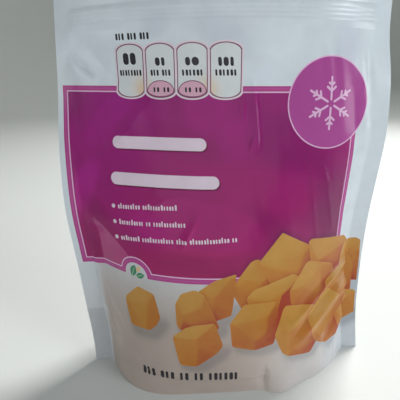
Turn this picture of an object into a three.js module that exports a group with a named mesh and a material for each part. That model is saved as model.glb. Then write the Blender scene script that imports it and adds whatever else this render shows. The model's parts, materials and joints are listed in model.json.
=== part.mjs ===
// A sealed stand-up pouch of frozen fruit pieces: two printed film walls joined by flat side seals,
// a press-to-close zip below the top edge, and a bottom gusset that the contents have opened.
// Millimetres, +Z up, front wall towards -Y, standing on its hem and on the middle of its gusset.
// A place on the film is given by "across", from the middle towards +X, and "up", from the hem,
// both measured along the film.

import * as THREE from 'three';
import { mergeVertices } from 'three/addons/utils/BufferGeometryUtils.js';

// Driving dimensions.
const FILM_WIDTH = 190;
const FILM_HEIGHT = 235;
const SEAL_WIDTH = 10;
const SEAL_THICKNESS = 1;

// The bottom gusset.
const HEM_THICKNESS = 1.2;
const HEM_GROOVE_WIDTH = 4;
const HEM_GROOVE_HEIGHT = 5;
const GUSSET_PAD_SHARE = 0.72;
const HEM_SEAL_MIDDLE = 9;
const HEM_SEAL_RISE = 33;
const HEM_SEAL_STEP = 0.7;

// The zip: a raised band, as wide as the film between the side seals, with two rounded ribs on it.
const ZIP_BOTTOM = 193;
const ZIP_TOP = 205;
const ZIP_BAND_HEIGHT = 0.5;
const ZIP_RIB_HEIGHT = 1.1;
const ZIP_RIB_HALF_WIDTH = 1.3;
const ZIP_RIBS_UP = [196.5, 200.5];

// Mesh steps.
const WALL_STEPS = 38;
const SEAL_STEPS = 2;
const BODY_ROW_STEP = 7.7;
const ZIP_ROW_STEP = 1;
const TOP_ROW_STEP = 7.5;
const ARC_SAMPLES = 80;
const WIDEST_SEARCH_STEPS = 24;

const HALF_WIDTH = FILM_WIDTH / 2;
const HALF_PANEL = HALF_WIDTH - SEAL_WIDTH;

// Level sections through the pouch. back and side say where the side seals stand, turn is how far the
// section is turned about the vertical, in degrees, front and rear are how far each wall stands out
// from the seals, and left and right are how full its curve is: 2 is a parabola, 5 nearly a box.
// A rear below zero is a wall that follows the front one forwards, as both do above the contents.
const SECTIONS = [
  { up: 0, back: 0, side: 0, turn: 0, front: 28, rear: 28, left: 5.5, right: 3.2 },
  { up: 30, back: 6.5, side: -1, turn: 0.3, front: 31.5, rear: 33, left: 3, right: 2.5 },
  { up: 60, back: 13.5, side: -2, turn: 0.4, front: 28, rear: 29, left: 2.3, right: 2.1 },
  { up: 95, back: 18, side: -3.8, turn: -1.1, front: 22.5, rear: 20, left: 1.9, right: 2.1 },
  { up: 130, back: 22, side: -3.9, turn: -3.9, front: 16, rear: 6, left: 1.8, right: 2.3 },
  { up: 165, back: 28, side: -4.2, turn: -6.5, front: 17, rear: -9, left: 1.7, right: 2.3 },
  { up: 195, back: 33.5, side: -5.8, turn: -7.7, front: 20, rear: -18.8, left: 1.7, right: 2.4 },
  { up: FILM_HEIGHT, back: 42.5, side: -5.5, turn: -8.7, front: 18.5, rear: -17.9, left: 1.8, right: 2.4 },
];

// Folds pressed into a wall: straight valleys (depth below zero) and ridges between two places on the
// film. reach is how far to each side the fold fades out.
const FRONT_FOLDS = [
  { from: [-84, 104], to: [-72, 60], depth: -3.4, reach: 8 },
  { from: [-72, 60], to: [-56, 30], depth: 2.2, reach: 9 },
  { from: [84, 58], to: [42, 26], depth: 2.4, reach: 8 },
  { from: [86, 84], to: [58, 40], depth: -2.6, reach: 8 },
  { from: [-80, 182], to: [-46, 158], depth: -1.5, reach: 10 },
  { from: [17, 0], to: [15, 14], depth: -2.2, reach: 5 },
];
const REAR_FOLDS = [
  { from: [-84, 62], to: [-48, 34], depth: 2.2, reach: 8 },
  { from: [-84, 96], to: [-60, 58], depth: -2.8, reach: 9 },
  { from: [84, 60], to: [50, 30], depth: 2.4, reach: 8 },
  { from: [84, 100], to: [62, 58], depth: -3, reach: 9 },
  { from: [-30, 176], to: [34, 150], depth: -1.6, reach: 12 },
];

/** The value of one key of SECTIONS at a height, on a smooth curve through the sections. */
function sectionValue(key, up) {
  const last = SECTIONS.length - 1;
  const slope = (i) => (SECTIONS[i + 1][key] - SECTIONS[i][key]) / (SECTIONS[i + 1].up - SECTIONS[i].up);
  const tangent = (i) => {
    if (i === 0) return slope(0);
    if (i === last) return slope(last - 1);
    const below = SECTIONS[i].up - SECTIONS[i - 1].up;
    const above = SECTIONS[i + 1].up - SECTIONS[i].up;
    return (slope(i - 1) * above + slope(i) * below) / (below + above);
  };
  let i = 0;
  while (i < last - 1 && up > SECTIONS[i + 1].up) i += 1;
  const span = SECTIONS[i + 1].up - SECTIONS[i].up;
  const t = (up - SECTIONS[i].up) / span;
  const [t2, t3] = [t * t, t * t * t];
  return (2 * t3 - 3 * t2 + 1) * SECTIONS[i][key] + (t3 - 2 * t2 + t) * span * tangent(i)
    + (3 * t2 - 2 * t3) * SECTIONS[i + 1][key] + (t3 - t2) * span * tangent(i + 1);
}

/** Points along half an arch of that half chord, depth and fullness, with the length up to each. */
function halfArch(chord, depth, fullness) {
  const points = [{ x: 0, stand: depth, length: 0 }];
  for (let i = 1; i <= ARC_SAMPLES; i += 1) {
    const x = chord * (i / ARC_SAMPLES) ** 0.7;
    const stand = depth * (1 - (x / chord) ** fullness);
    const before = points[i - 1];
    points.push({ x, stand, length: before.length + Math.hypot(x - before.x, stand - before.stand) });
  }
  return points;
}

/** The half chord at which half an arch is exactly as long as the film between seam and middle. */
function halfChord(depth, fullness) {
  let [low, high] = [HALF_PANEL / 2, HALF_PANEL];
  for (let i = 0; i < WIDEST_SEARCH_STEPS; i += 1) {
    const middle = (low + high) / 2;
    if (halfArch(middle, depth, fullness)[ARC_SAMPLES].length > HALF_PANEL) high = middle;
    else low = middle;
  }
  return low;
}

/** Where a share of half an arch's length lies on it. */
function alongArch(arch, share) {
  const wanted = share * arch[ARC_SAMPLES].length;
  let i = 1;
  while (i < ARC_SAMPLES && arch[i].length < wanted) i += 1;
  const t = (wanted - arch[i - 1].length) / (arch[i].length - arch[i - 1].length);
  return {
    x: THREE.MathUtils.lerp(arch[i - 1].x, arch[i].x, t),
    stand: THREE.MathUtils.lerp(arch[i - 1].stand, arch[i].stand, t),
  };
}

/** How far a list of folds moves the film outwards at one place. */
function foldRelief(folds, across, up) {
  const place = new THREE.Vector3(across, up, 0);
  const nearest = new THREE.Vector3();
  return folds.reduce((sum, fold) => {
    const line = new THREE.Line3(new THREE.Vector3(...fold.from, 0), new THREE.Vector3(...fold.to, 0));
    const away = line.closestPointToPoint(place, true, nearest).distanceTo(place);
    return sum + fold.depth * Math.exp(-((away / fold.reach) ** 2));
  }, 0);
}

/** How far the zip stands out at a height. */
function zipRelief(up) {
  if (up < ZIP_BOTTOM || up > ZIP_TOP) return 0;
  const rib = ZIP_RIBS_UP.some((middle) => Math.abs(up - middle) < ZIP_RIB_HALF_WIDTH);
  return rib ? ZIP_RIB_HEIGHT : ZIP_BAND_HEIGHT;
}

/** The height of the curved seal that joins wall and gusset: lowest in the middle of the hem. */
function hemSealTop(across) {
  return HEM_SEAL_MIDDLE + HEM_SEAL_RISE * Math.min(1, Math.abs(across) / HALF_PANEL) ** 3;
}

/** How far a wall stands outside its smooth arch. Nothing moves at the seals. */
function relief(folds, across, up) {
  const inside = Math.min(1, Math.max(0, (HALF_PANEL - Math.abs(across)) / SEAL_WIDTH));
  const step = up < hemSealTop(across) ? -HEM_SEAL_STEP : 0;
  return inside * (foldRelief(folds, across, up) + zipRelief(up) + step);
}

/** Both walls' points across the pouch at one height: two lists of [x, y], from -X to +X. */
function sectionAt(up, places) {
  const value = (key) => sectionValue(key, up);
  const [front, rear] = [value('front'), value('rear')];
  const turn = THREE.MathUtils.degToRad(value('turn'));
  const sides = ['left', 'right'].map((key) => {
    const fullness = value(key);
    const chord = halfChord(front, fullness);
    return {
      // The seal carries on along the middle of the two walls.
      sealAngle: Math.atan((fullness * (front - rear)) / (2 * chord)),
      arches: { front: halfArch(chord, front, fullness), rear: halfArch(chord, rear, fullness) },
    };
  });
  const wall = (name, folds, outward) => places.map((across) => {
    const { sealAngle, arches } = sides[across < 0 ? 0 : 1];
    const found = alongArch(arches[name], Math.min(1, Math.abs(across) / HALF_PANEL));
    const beyond = Math.max(0, Math.abs(across) - HALF_PANEL);
    const x = Math.sign(across) * (found.x + beyond * Math.cos(sealAngle));
    const y = outward * (found.stand + SEAL_THICKNESS / 2 + relief(folds, across, up))
      + beyond * Math.sin(sealAngle);
    return [
      value('side') + x * Math.cos(turn) - y * Math.sin(turn),
      value('back') + x * Math.sin(turn) + y * Math.cos(turn),
    ];
  });
  return { front: wall('front', FRONT_FOLDS, -1), rear: wall('rear', REAR_FOLDS, 1) };
}

/** Evenly spaced heights from one to the other, without the last. */
function heights(from, to, step) {
  const count = Math.round((to - from) / step);
  return Array.from({ length: count }, (_, i) => THREE.MathUtils.lerp(from, to, i / count));
}

/** Where the film is measured across: the seals, then even steps over the wall. */
function placesAcross() {
  const places = [];
  for (let i = 0; i < SEAL_STEPS; i += 1) places.push(-HALF_WIDTH + (SEAL_WIDTH * i) / SEAL_STEPS);
  for (let i = 0; i <= WALL_STEPS; i += 1) places.push(-HALF_PANEL + (2 * HALF_PANEL * i) / WALL_STEPS);
  for (let i = 1; i <= SEAL_STEPS; i += 1) places.push(HALF_PANEL + (SEAL_WIDTH * i) / SEAL_STEPS);
  return places;
}

/** The pouch as one closed surface. */
function pouchGeometry() {
  const places = placesAcross();
  const ups = [
    ...heights(0, ZIP_BOTTOM - ZIP_ROW_STEP, BODY_ROW_STEP),
    ...heights(ZIP_BOTTOM - ZIP_ROW_STEP, ZIP_TOP + ZIP_ROW_STEP, ZIP_ROW_STEP),
    ...heights(ZIP_TOP + ZIP_ROW_STEP, FILM_HEIGHT, TOP_ROW_STEP),
    FILM_HEIGHT,
  ];
  const positions = [];
  const indices = [];
  const addPoint = (x, y, z) => positions.push(x, y, z) / 3 - 1;
  const addQuad = (a, b, c, d) => indices.push(a, b, c, a, c, d);

  // Each row is a closed ring: the front wall from -X to +X, then the rear wall back again.
  let z = 0;
  const rows = ups.map((up, i) => {
    if (i > 0) {
      const rise = up - ups[i - 1];
      const lean = sectionValue('back', up) - sectionValue('back', ups[i - 1]);
      z += Math.sqrt(rise * rise - lean * lean);
    }
    const { front, rear } = sectionAt(up, places);
    return [...front, ...rear.reverse()].map(([x, y]) => addPoint(x, y, z));
  });
  const ringLength = 2 * places.length;
  for (let i = 0; i + 1 < rows.length; i += 1) {
    for (let j = 0; j < ringLength; j += 1) {
      const next = (j + 1) % ringLength;
      addQuad(rows[i][j], rows[i][next], rows[i + 1][next], rows[i + 1][j]);
    }
  }

  // The top edge, and the feet of the two side seals, are strips between front and rear.
  const opposite = (row, j) => row[ringLength - 1 - j];
  const [foot, edge] = [rows[0], rows[rows.length - 1]];
  const lastPlace = places.length - 1;
  for (let j = 0; j < lastPlace; j += 1) {
    addQuad(edge[j], edge[j + 1], opposite(edge, j + 1), opposite(edge, j));
    const onSeal = j < SEAL_STEPS || j >= lastPlace - SEAL_STEPS;
    if (onSeal) addQuad(foot[j + 1], foot[j], opposite(foot, j), opposite(foot, j + 1));
  }

  // The underside: hem, groove behind it, then the flat middle of the gusset.
  const wallPlaces = Array.from({ length: WALL_STEPS + 1 }, (_, i) => SEAL_STEPS + i);
  const hem = [...wallPlaces.map((j) => foot[j]), ...wallPlaces.map((j) => opposite(foot, j)).reverse()];
  const [halfLong, halfDeep] = [halfChord(SECTIONS[0].front, SECTIONS[0].left), SECTIONS[0].front];
  const insetRing = (inset, height) => hem.map((index) => {
    const [x, y] = positions.slice(3 * index, 3 * index + 2);
    return addPoint(x * (1 - inset / halfLong), y * (1 - inset / halfDeep), height);
  });
  const padRing = () => hem.map((index) => {
    const [x, y] = positions.slice(3 * index, 3 * index + 2);
    return addPoint(x * GUSSET_PAD_SHARE, y * GUSSET_PAD_SHARE, 0);
  });
  const rings = [
    hem,
    insetRing(HEM_THICKNESS, 0),
    insetRing(2 * HEM_THICKNESS, HEM_GROOVE_HEIGHT),
    insetRing(HEM_GROOVE_WIDTH, HEM_GROOVE_HEIGHT),
    padRing(),
  ];
  for (let i = 0; i + 1 < rings.length; i += 1) {
    hem.forEach((_, j) => {
      const next = (j + 1) % hem.length;
      addQuad(rings[i][next], rings[i][j], rings[i + 1][j], rings[i + 1][next]);
    });
  }
  const middle = addPoint(0, 0, 0);
  const pad = rings[rings.length - 1];
  pad.forEach((index, j) => indices.push(pad[(j + 1) % pad.length], index, middle));

  const geometry = new THREE.BufferGeometry();
  geometry.setAttribute('position', new THREE.Float32BufferAttribute(positions, 3));
  geometry.setIndex(indices);
  return mergeVertices(geometry);
}

/** Moves a geometry so that the middle of its box's underside is the origin. */
function standOnOrigin(geometry) {
  geometry.computeBoundingBox();
  const { min, max } = geometry.boundingBox;
  geometry.translate(-(min.x + max.x) / 2, -(min.y + max.y) / 2, -min.z);
  geometry.computeVertexNormals();
  return geometry;
}

const pouch = new THREE.Mesh(
  standOnOrigin(pouchGeometry()),
  new THREE.MeshStandardMaterial({ color: 0xdfe3e6, roughness: 0.32, metalness: 0 }),
);
pouch.name = 'pouch';

const group = new THREE.Group();
group.add(pouch);

export default group;
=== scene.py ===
"""A sealed stand-up pouch of frozen fruit: printed film, ribbed top seal, and a pale studio stage.

The film is measured flat: "across" runs from the pouch's middle towards +X and "up" from the hem,
both in millimetres along the film. Everything else is in metres, in the frame's own axes.
"""

import functools
import itertools
import json
import math
import random

import bmesh
import bpy
import numpy as np
from bpy.props import FloatProperty, FloatVectorProperty, IntProperty, PointerProperty
from bpy.types import NodeSocket, Operator, Panel, PropertyGroup
from mathutils import Euler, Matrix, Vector
from mathutils.geometry import delaunay_2d_cdt


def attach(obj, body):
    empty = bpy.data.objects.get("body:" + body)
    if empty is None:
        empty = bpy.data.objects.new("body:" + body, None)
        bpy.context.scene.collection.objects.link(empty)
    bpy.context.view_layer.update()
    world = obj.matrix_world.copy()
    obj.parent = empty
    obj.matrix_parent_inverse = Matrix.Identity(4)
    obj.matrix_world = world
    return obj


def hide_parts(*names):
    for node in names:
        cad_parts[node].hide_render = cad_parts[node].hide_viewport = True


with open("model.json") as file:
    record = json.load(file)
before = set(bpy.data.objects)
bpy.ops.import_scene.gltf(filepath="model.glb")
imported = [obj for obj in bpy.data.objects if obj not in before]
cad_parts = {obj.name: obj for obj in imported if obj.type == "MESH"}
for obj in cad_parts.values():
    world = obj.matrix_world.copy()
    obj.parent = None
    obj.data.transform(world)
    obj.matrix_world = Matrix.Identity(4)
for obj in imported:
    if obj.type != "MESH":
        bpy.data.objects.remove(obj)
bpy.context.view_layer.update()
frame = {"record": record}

bl_info = {
    "name": "Stand-up fruit pouch",
    "version": (1, 0, 0),
    "blender": (4, 5, 0),
    "location": "3D View > Sidebar > Pouch",
    "description": "Printed film, seals and stage for a stand-up pouch of frozen fruit",
    "category": "Add Mesh",
}

NODE = "pouch"
BODY = "root"
MM = 0.001
# Further than any distance on the film.
FAR = 1e9

# ------------------------------------------------------------------ the flat film

FILM_WIDTH = 190.0
FILM_HEIGHT = 235.0
SEAL_WIDTH = 10.0
HALF_WIDTH = FILM_WIDTH / 2
HALF_PANEL = HALF_WIDTH - SEAL_WIDTH
TOP_SEAL = FILM_HEIGHT - 11.0
TOP_CORNER_RADIUS = 2
TEAR_NOTCH_UP = 219.0
TEAR_NOTCH_DEEP = 2.2
TEAR_NOTCH_HALF = 1.5

HEM_SEAL_MIDDLE = 9.0
HEM_SEAL_RISE = 33.0
HEM_SEAL_POWER = 3
HEM_SEAL_STEP = 0.6
SEAL_EDGE = 0.6
GUSSET_SEAL_TOP = 35.5

ZIP_BOTTOM = 193.5
ZIP_TOP = 205.0
ZIP_EDGE = 0.8
ZIP_BAND_HEIGHT = 0.35
ZIP_RIBS_UP = (196.2, 198.3, 200.4, 202.5)
ZIP_RIB_HALF_WIDTH = 0.7
ZIP_RIB_HEIGHT = 0.24

# The pouch's middle at the hem, from the middle of the frame's box: the frame's own base mount.
BASE_PLACE = next(m["pos_m"] for m in frame["record"]["mounts"] if m["name"] == "base")

# Level sections, as the frame's pouch has them. back and side say where the side seals stand, turn is
# in degrees, front and rear are how far each wall stands out from the seals, and left and right are
# how full its curve is.
SECTION_KEYS = ("up", "back", "side", "turn", "front", "rear", "left", "right")
SECTIONS = np.array([
    (0, 0, 0, 0, 28, 28, 5.5, 3.2),
    (30, 6.5, -1, 0.3, 31.5, 33, 3, 2.5),
    (60, 13.5, -2, 0.4, 28, 29, 2.3, 2.1),
    (95, 18, -3.8, -1.1, 22.5, 20, 1.9, 2.1),
    (130, 22, -3.9, -3.9, 16, 6, 1.8, 2.3),
    (165, 28, -4.2, -6.5, 17, -9, 1.7, 2.3),
    (195, 33.5, -5.8, -7.7, 20, -18.8, 1.7, 2.4),
    (FILM_HEIGHT, 42.5, -5.5, -8.7, 18.5, -17.9, 1.8, 2.4),
])
# Half an arch is measured at places that crowd towards the seal by this power of their share.
ARC_SAMPLES = 90
ARC_CROWDING = 0.7
CHORD_HALVINGS = 24
GRID_STEP_ACROSS = 0.5
GRID_STEP_UP = 1.0


def through_stations(stations, values, wanted):
    """Values on a smooth curve through unevenly spaced stations."""
    spans = np.diff(stations)
    slopes = np.diff(values) / spans
    tangents = np.empty(len(values))
    tangents[0] = slopes[0]
    tangents[-1] = slopes[-1]
    tangents[1:-1] = (slopes[:-1] * spans[1:] + slopes[1:] * spans[:-1]) / (spans[1:] + spans[:-1])
    i = np.clip(np.searchsorted(stations, wanted, side="right") - 1, 0, len(spans) - 1)
    t = (wanted - stations[i]) / spans[i]
    return ((2 * t**3 - 3 * t**2 + 1) * values[i] + (t**3 - 2 * t**2 + t) * spans[i] * tangents[i]
            + (3 * t**2 - 2 * t**3) * values[i + 1] + (t**3 - t**2) * spans[i] * tangents[i + 1])


def half_arches(chords, depths, fullness):
    """Half an arch for each row: places across, how far it stands out, and the length up to each."""
    share = np.linspace(0, 1, ARC_SAMPLES + 1)[None] ** ARC_CROWDING
    across = chords[:, None] * share
    stand = depths[:, None] * (1 - share ** fullness[:, None])
    steps = np.hypot(np.diff(across, axis=1), np.diff(stand, axis=1))
    return across, stand, np.concatenate([np.zeros((len(chords), 1)), np.cumsum(steps, axis=1)], axis=1)


def half_chords(depths, fullness):
    """The half chords at which half an arch is as long as the film from its middle to the seal."""
    low = np.full(len(depths), HALF_PANEL / 2)
    high = np.full(len(depths), HALF_PANEL)
    for _ in range(CHORD_HALVINGS):
        middle = (low + high) / 2
        too_long = half_arches(middle, depths, fullness)[2][:, -1] > HALF_PANEL
        high = np.where(too_long, middle, high)
        low = np.where(too_long, low, middle)
    return low


def between_corners(corner, s, t):
    """A value inside a cell: straight between its four corners, s along and t up the cell."""
    return ((corner(0, 0) * (1 - s) + corner(1, 0) * s) * (1 - t)
            + (corner(0, 1) * (1 - s) + corner(1, 1) * s) * t)


def lookup(grid, across, up):
    """Values of a grid over the film at any places, straight between its points."""
    column = (across + HALF_WIDTH) / GRID_STEP_ACROSS
    row = up / GRID_STEP_UP
    j = np.clip(column.astype(int), 0, grid.shape[1] - 2)
    i = np.clip(row.astype(int), 0, grid.shape[0] - 2)

    def corner(right, above):
        return grid[i + above, j + right]

    return between_corners(corner, (column - j)[:, None], (row - i)[:, None])


class FilmShape:
    """Where the two smooth walls stand, from their level sections."""

    def __init__(self):
        ups = np.arange(0, FILM_HEIGHT + GRID_STEP_UP / 2, GRID_STEP_UP)
        self.across = np.arange(-HALF_WIDTH, HALF_WIDTH + GRID_STEP_ACROSS / 2, GRID_STEP_ACROSS)
        value = {key: through_stations(SECTIONS[:, 0], SECTIONS[:, i], ups)
                 for i, key in enumerate(SECTION_KEYS)}
        lean = np.diff(value["back"])
        heights = np.concatenate([[0], np.cumsum(np.sqrt(GRID_STEP_UP**2 - lean**2))])
        turn = np.radians(value["turn"])[:, None]
        self.grids = {}
        for wall, outward in (("front", -1), ("rear", 1)):
            x = np.zeros((len(ups), len(self.across)))
            y = np.zeros_like(x)
            for side, sign in (("left", -1), ("right", 1)):
                self.fill_side(x, y, value, wall, side, sign, outward)
            points = np.stack([
                value["side"][:, None] + x * np.cos(turn) - y * np.sin(turn) + BASE_PLACE[0] / MM,
                value["back"][:, None] + x * np.sin(turn) + y * np.cos(turn) + BASE_PLACE[1] / MM,
                np.repeat(heights[:, None], len(self.across), axis=1),
            ], axis=2)
            along = np.gradient(points, axis=1)
            normals = np.stack([along[..., 1], -along[..., 0], np.zeros(x.shape)], axis=2) * -outward
            normals /= np.linalg.norm(normals, axis=2, keepdims=True)
            self.grids[wall] = (points, normals)

    def fill_side(self, x, y, value, wall, side, sign, outward):
        """Lays one wall's half sections on one side of the middle."""
        chords = half_chords(value["front"], value[side])
        arches = half_arches(chords, value[wall], value[side])
        # The seal carries on along the middle of the two walls.
        seal_angle = np.arctan(value[side] * (value["front"] - value["rear"]) / (2 * chords))
        columns = np.nonzero(self.across * sign >= 0)[0]
        away = np.abs(self.across[columns])
        beyond = np.maximum(0, away - HALF_PANEL)
        for i in range(len(chords)):
            across, stand, length = (a[i] for a in arches)
            reached = np.minimum(1, away / HALF_PANEL) * length[-1]
            x[i, columns] = sign * (np.interp(reached, length, across) + beyond * math.cos(seal_angle[i]))
            y[i, columns] = (outward * np.interp(reached, length, stand)
                             + beyond * math.sin(seal_angle[i]))

    def place(self, wall, across, up, out):
        """Points in metres, that many millimetres outside a wall's smooth middle surface."""
        points, normals = self.grids[wall]
        normal = lookup(normals, across, up)
        normal /= np.linalg.norm(normal, axis=1, keepdims=True)
        found = lookup(points, across, up) + normal * np.reshape(out, (-1, 1))
        found[:, 1] -= sway(across, up)
        return found * MM


# ------------------------------------------------------------------ folds, lumps and ripples

# Creases pressed into a wall: the places on the film that each runs through, its height, above zero
# for a ridge, how far the film slopes away to the left and to the right of the way it runs, and its
# power, which is 1 for straight flanks with hard edges and 2 for flanks that fade out.
FRONT_CREASES = (
    (((-84, 66), (-75, 50), (-60, 34)), 1.3, (9, 8), 2),
    (((-83, 40), (-72, 24)), -0.9, (5, 5), 1.3),
    (((-78, 48), (-66, 29)), 0.5, (3, 3), 1.2),
    (((88, 67), (36, 39)), 1.3, (5, 4), 1.3),
    (((88, 60), (36, 32)), -0.9, (4, 4), 1.3),
    (((88, 53), (38, 27)), 1.5, (5, 6), 1.3),
    (((89, 46), (56, 25)), 1.1, (2.2, 4), 1.2),
    (((88, 40), (60, 21)), -1.4, (5, 4), 1.2),
    (((89, 34), (64, 12)), 1.9, (4.5, 6), 1.1),
    (((89, 22), (73, 6)), -1.3, (5, 4), 1.2),
    (((-84, 181), (-70, 170)), -1.5, (3, 4), 2),
    (((-74, 186), (-44, 158)), -0.8, (12, 12), 2),
    (((18, 1), (18.4, 15)), -1.6, (5, 2), 1.0),
    (((16.0, 168), (18.6, 134)), 1.0, (1.7, 5), 1.0),
    (((16.4, 141), (14.0, 133)), 0.8, (4, 1.5), 1.0),
    (((11.6, 160), (10.6, 148)), 0.7, (1.5, 4), 1.0),
    (((-14, 100), (-23, 84)), 1.2, (1.8, 4), 1.0),
    (((-40, 101), (-31, 108)), 0.6, (1.6, 3.5), 1.0),
    (((46, 132), (54, 84)), 0.5, (3.5, 3.5), 2),
    (((55, 128), (66, 86)), 0.45, (4, 3.5), 2),
    (((67, 126), (74, 92)), 0.2, (4, 3.5), 2),
    (((-80, 105), (-52, 118), (-10, 123), (34, 124), (64, 114)), 0.6, (12, 22), 2),
    (((-82, 118), (-58, 136), (-36, 160)), 0.7, (10, 12), 2),
)
REAR_CREASES = (
    (((-84, 62), (-48, 34)), 2.0, (9, 9), 2),
    (((-84, 96), (-60, 58)), -2.4, (10, 9), 2),
    (((84, 60), (50, 30)), 2.0, (9, 9), 2),
    (((84, 100), (62, 58)), -2.5, (9, 10), 2),
    (((-30, 176), (34, 150)), -1.3, (14, 14), 2),
    (((52, 188), (80, 150)), 0.9, (7, 7), 2),
    (((-82, 140), (-58, 118)), -1.0, (7, 7), 2),
)
# A crease's height at its ends, as a share of that at its middle, and the power of its rise there.
CREASE_END_SHARE = 0.35
CREASE_RISE_POWER = 0.7

# By wall: its creases, the millimetres of lump and their seed, and the millimetres of ripple and
# their seed, both for each metre set. The rear film is slacker, so its lumps are higher.
WALL_RELIEF = {
    "front": (FRONT_CREASES, 1000, 5, 1000, 21),
    "rear": (REAR_CREASES, 1600, 9, 1000, 31),
}

# The flat buckle beside the left seal: where it starts up the film, the valley at its foot, how deep
# it is, how wide its flank on the seal's side is, and over which stretches up it deepens and ends.
BUCKLE_TOP = 93.0
BUCKLE_VALLEY = -77.6
BUCKLE_DEPTH = 2.6
BUCKLE_SEAL_SIDE = 6.5
BUCKLE_DEEPENS = (0, 9)
BUCKLE_ENDS = (30, 62)
# Its upper edge: the gap to the valley at the top, the reach across that it gains over a drop, and
# the power of that curve.
BUCKLE_EDGE_GAP = 0.6
BUCKLE_EDGE_REACH = 20.5
BUCKLE_EDGE_DROP = 17
BUCKLE_EDGE_POWER = 0.8

# Rounded bulges of the front wall: across, up, height, reach across and reach up. They are the
# belly, the one at the hem and the one over the heap at the right-hand seal.
FRONT_BULGES = ((-9.0, 88.0, 1.0, 30.0, 15.0), (27.0, 2.0, 3.4, 9.0, 9.0), (80.0, 45.0, 3.2, 14.0, 20.0))

# The lumps stand in staggered rows and stray from their places. Pairs are across and up, or least
# and most; the fades say where up the film, and how far from its middle, the lumps come and go.
LUMP_ROWS = 6
LUMP_COLUMNS = range(-4, 5)
LUMP_PITCH = (21, 19)
LUMP_LOWEST = 18
LUMP_STRAY = (5, 4)
LUMP_SIZES = (0.3, 1)
LUMP_REACHES = (9, 13)
LUMPS_BEGIN = (8, 24)
LUMPS_END = (96, 134)
LUMPS_SIDES = (62, 80)

# Long ripples lean by this much across for each millimetre up from this level, and are lower on the
# left. Short ones fade out away from the side seals.
RIPPLE_LEAN = 0.16
RIPPLE_LEVEL = 100
FINE_RIPPLE_SHARE = 0.5
RIPPLES_BEGIN = (70, 100)
RIPPLES_END = (176, 192)
LEFT_RIPPLE_SHARE = 0.35
RIPPLES_GROW = (20, 60)
SHORT_RIPPLE_HEIGHT = 0.34
SHORT_RIPPLE_REACH = 7
BROAD_RIPPLE_HEIGHT = 0.4

# Both walls sway together, in the header above this level and along the side seals.
HEADER_LOW = 150
HEADER_SWAY = 1.0
SIDE_SWAY = 0.7
SIDE_SWAY_INSIDE = 60
SIDE_SWAY_BEGINS = (20, 60)

# How far from a side seal, the top seal and the hem the film comes free.
SIDE_EASE = 5
TOP_EASE = 8
HEM_EASE = 8

# Noise tables have this many cells each way, and the middle of the hem falls at this place in them.
LATTICE_CELLS = 64
LATTICE_PLACE = (100.3, 50.7)


def smooth_step(low, high, value):
    """0 below low, 1 above high, and a smooth way between."""
    t = np.clip((value - low) / (high - low), 0, 1)
    return t * t * (3 - 2 * t)


def lattice_noise(across, up, cell, seed):
    """Smooth noise from -1 to 1 over the film, with cells of that size across and up."""
    table = np.random.RandomState(seed).uniform(-1, 1, (LATTICE_CELLS, LATTICE_CELLS))
    x = across / cell[0] + LATTICE_PLACE[0]
    y = up / cell[1] + LATTICE_PLACE[1]
    i = np.floor(x).astype(int)
    j = np.floor(y).astype(int)

    def corner(right, above):
        return table[(i + right) % LATTICE_CELLS, (j + above) % LATTICE_CELLS]

    return between_corners(corner, smooth_step(0, 1, x - i), smooth_step(0, 1, y - j))


def layered_noise(across, up, layers):
    """A sum of noises, each with its strength, its lean across for each millimetre up, its cell and
    its seed."""
    return sum(strength * lattice_noise(across + lean * up, up, cell, seed)
               for strength, lean, cell, seed in layers)


def sway(across, up):
    """How far both walls together lean out of their smooth place, towards the front."""
    header = smooth_step(HEADER_LOW, FILM_HEIGHT, up)
    sides = smooth_step(SIDE_SWAY_INSIDE, HALF_WIDTH, np.abs(across)) * smooth_step(*SIDE_SWAY_BEGINS, up)
    return (HEADER_SWAY * header * lattice_noise(across, up, cell=(38, 90), seed=11)
            + SIDE_SWAY * sides * lattice_noise(across, up, cell=(60, 23), seed=12))


def hem_seal_top(across):
    """The curved seal that joins wall and gusset: lowest in the middle of the hem."""
    share = np.minimum(1, np.abs(across) / HALF_PANEL)
    return HEM_SEAL_MIDDLE + HEM_SEAL_RISE * share ** HEM_SEAL_POWER


def crease_relief(across, up, creases):
    """How far a list of creases moves the film outwards."""
    total = np.zeros(len(across))
    for places, height, reaches, power in creases:
        line = np.array(places, float)
        runs = np.diff(line, axis=0)
        lengths = np.linalg.norm(runs, axis=1)
        starts = np.concatenate([[0], np.cumsum(lengths)])
        away = np.full(len(across), FAR)
        side = np.zeros(len(across))
        along = np.zeros(len(across))
        for start, run, length, before in zip(line, runs, lengths, starts):
            x = across - start[0]
            y = up - start[1]
            t = np.clip((x * run[0] + y * run[1]) / length**2, 0, 1)
            distance = np.hypot(x - t * run[0], y - t * run[1])
            nearer = distance < away
            away[nearer] = distance[nearer]
            side[nearer] = (y * run[0] - x * run[1])[nearer]
            along[nearer] = (before + t * length)[nearer] / starts[-1]
        reach = np.where(side > 0, reaches[0], reaches[1])
        swell = np.sin(math.pi * along) ** CREASE_RISE_POWER
        swell = CREASE_END_SHARE + (1 - CREASE_END_SHARE) * swell
        total += height * swell * np.maximum(0, 1 - away / reach) ** power
    return total


def buckle_edge(up):
    """The curved upper edge of the buckle's flat flank."""
    below = np.clip((BUCKLE_TOP - up) / BUCKLE_EDGE_DROP, 0, None)
    return BUCKLE_VALLEY + BUCKLE_EDGE_GAP + BUCKLE_EDGE_REACH * below ** BUCKLE_EDGE_POWER


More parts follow.
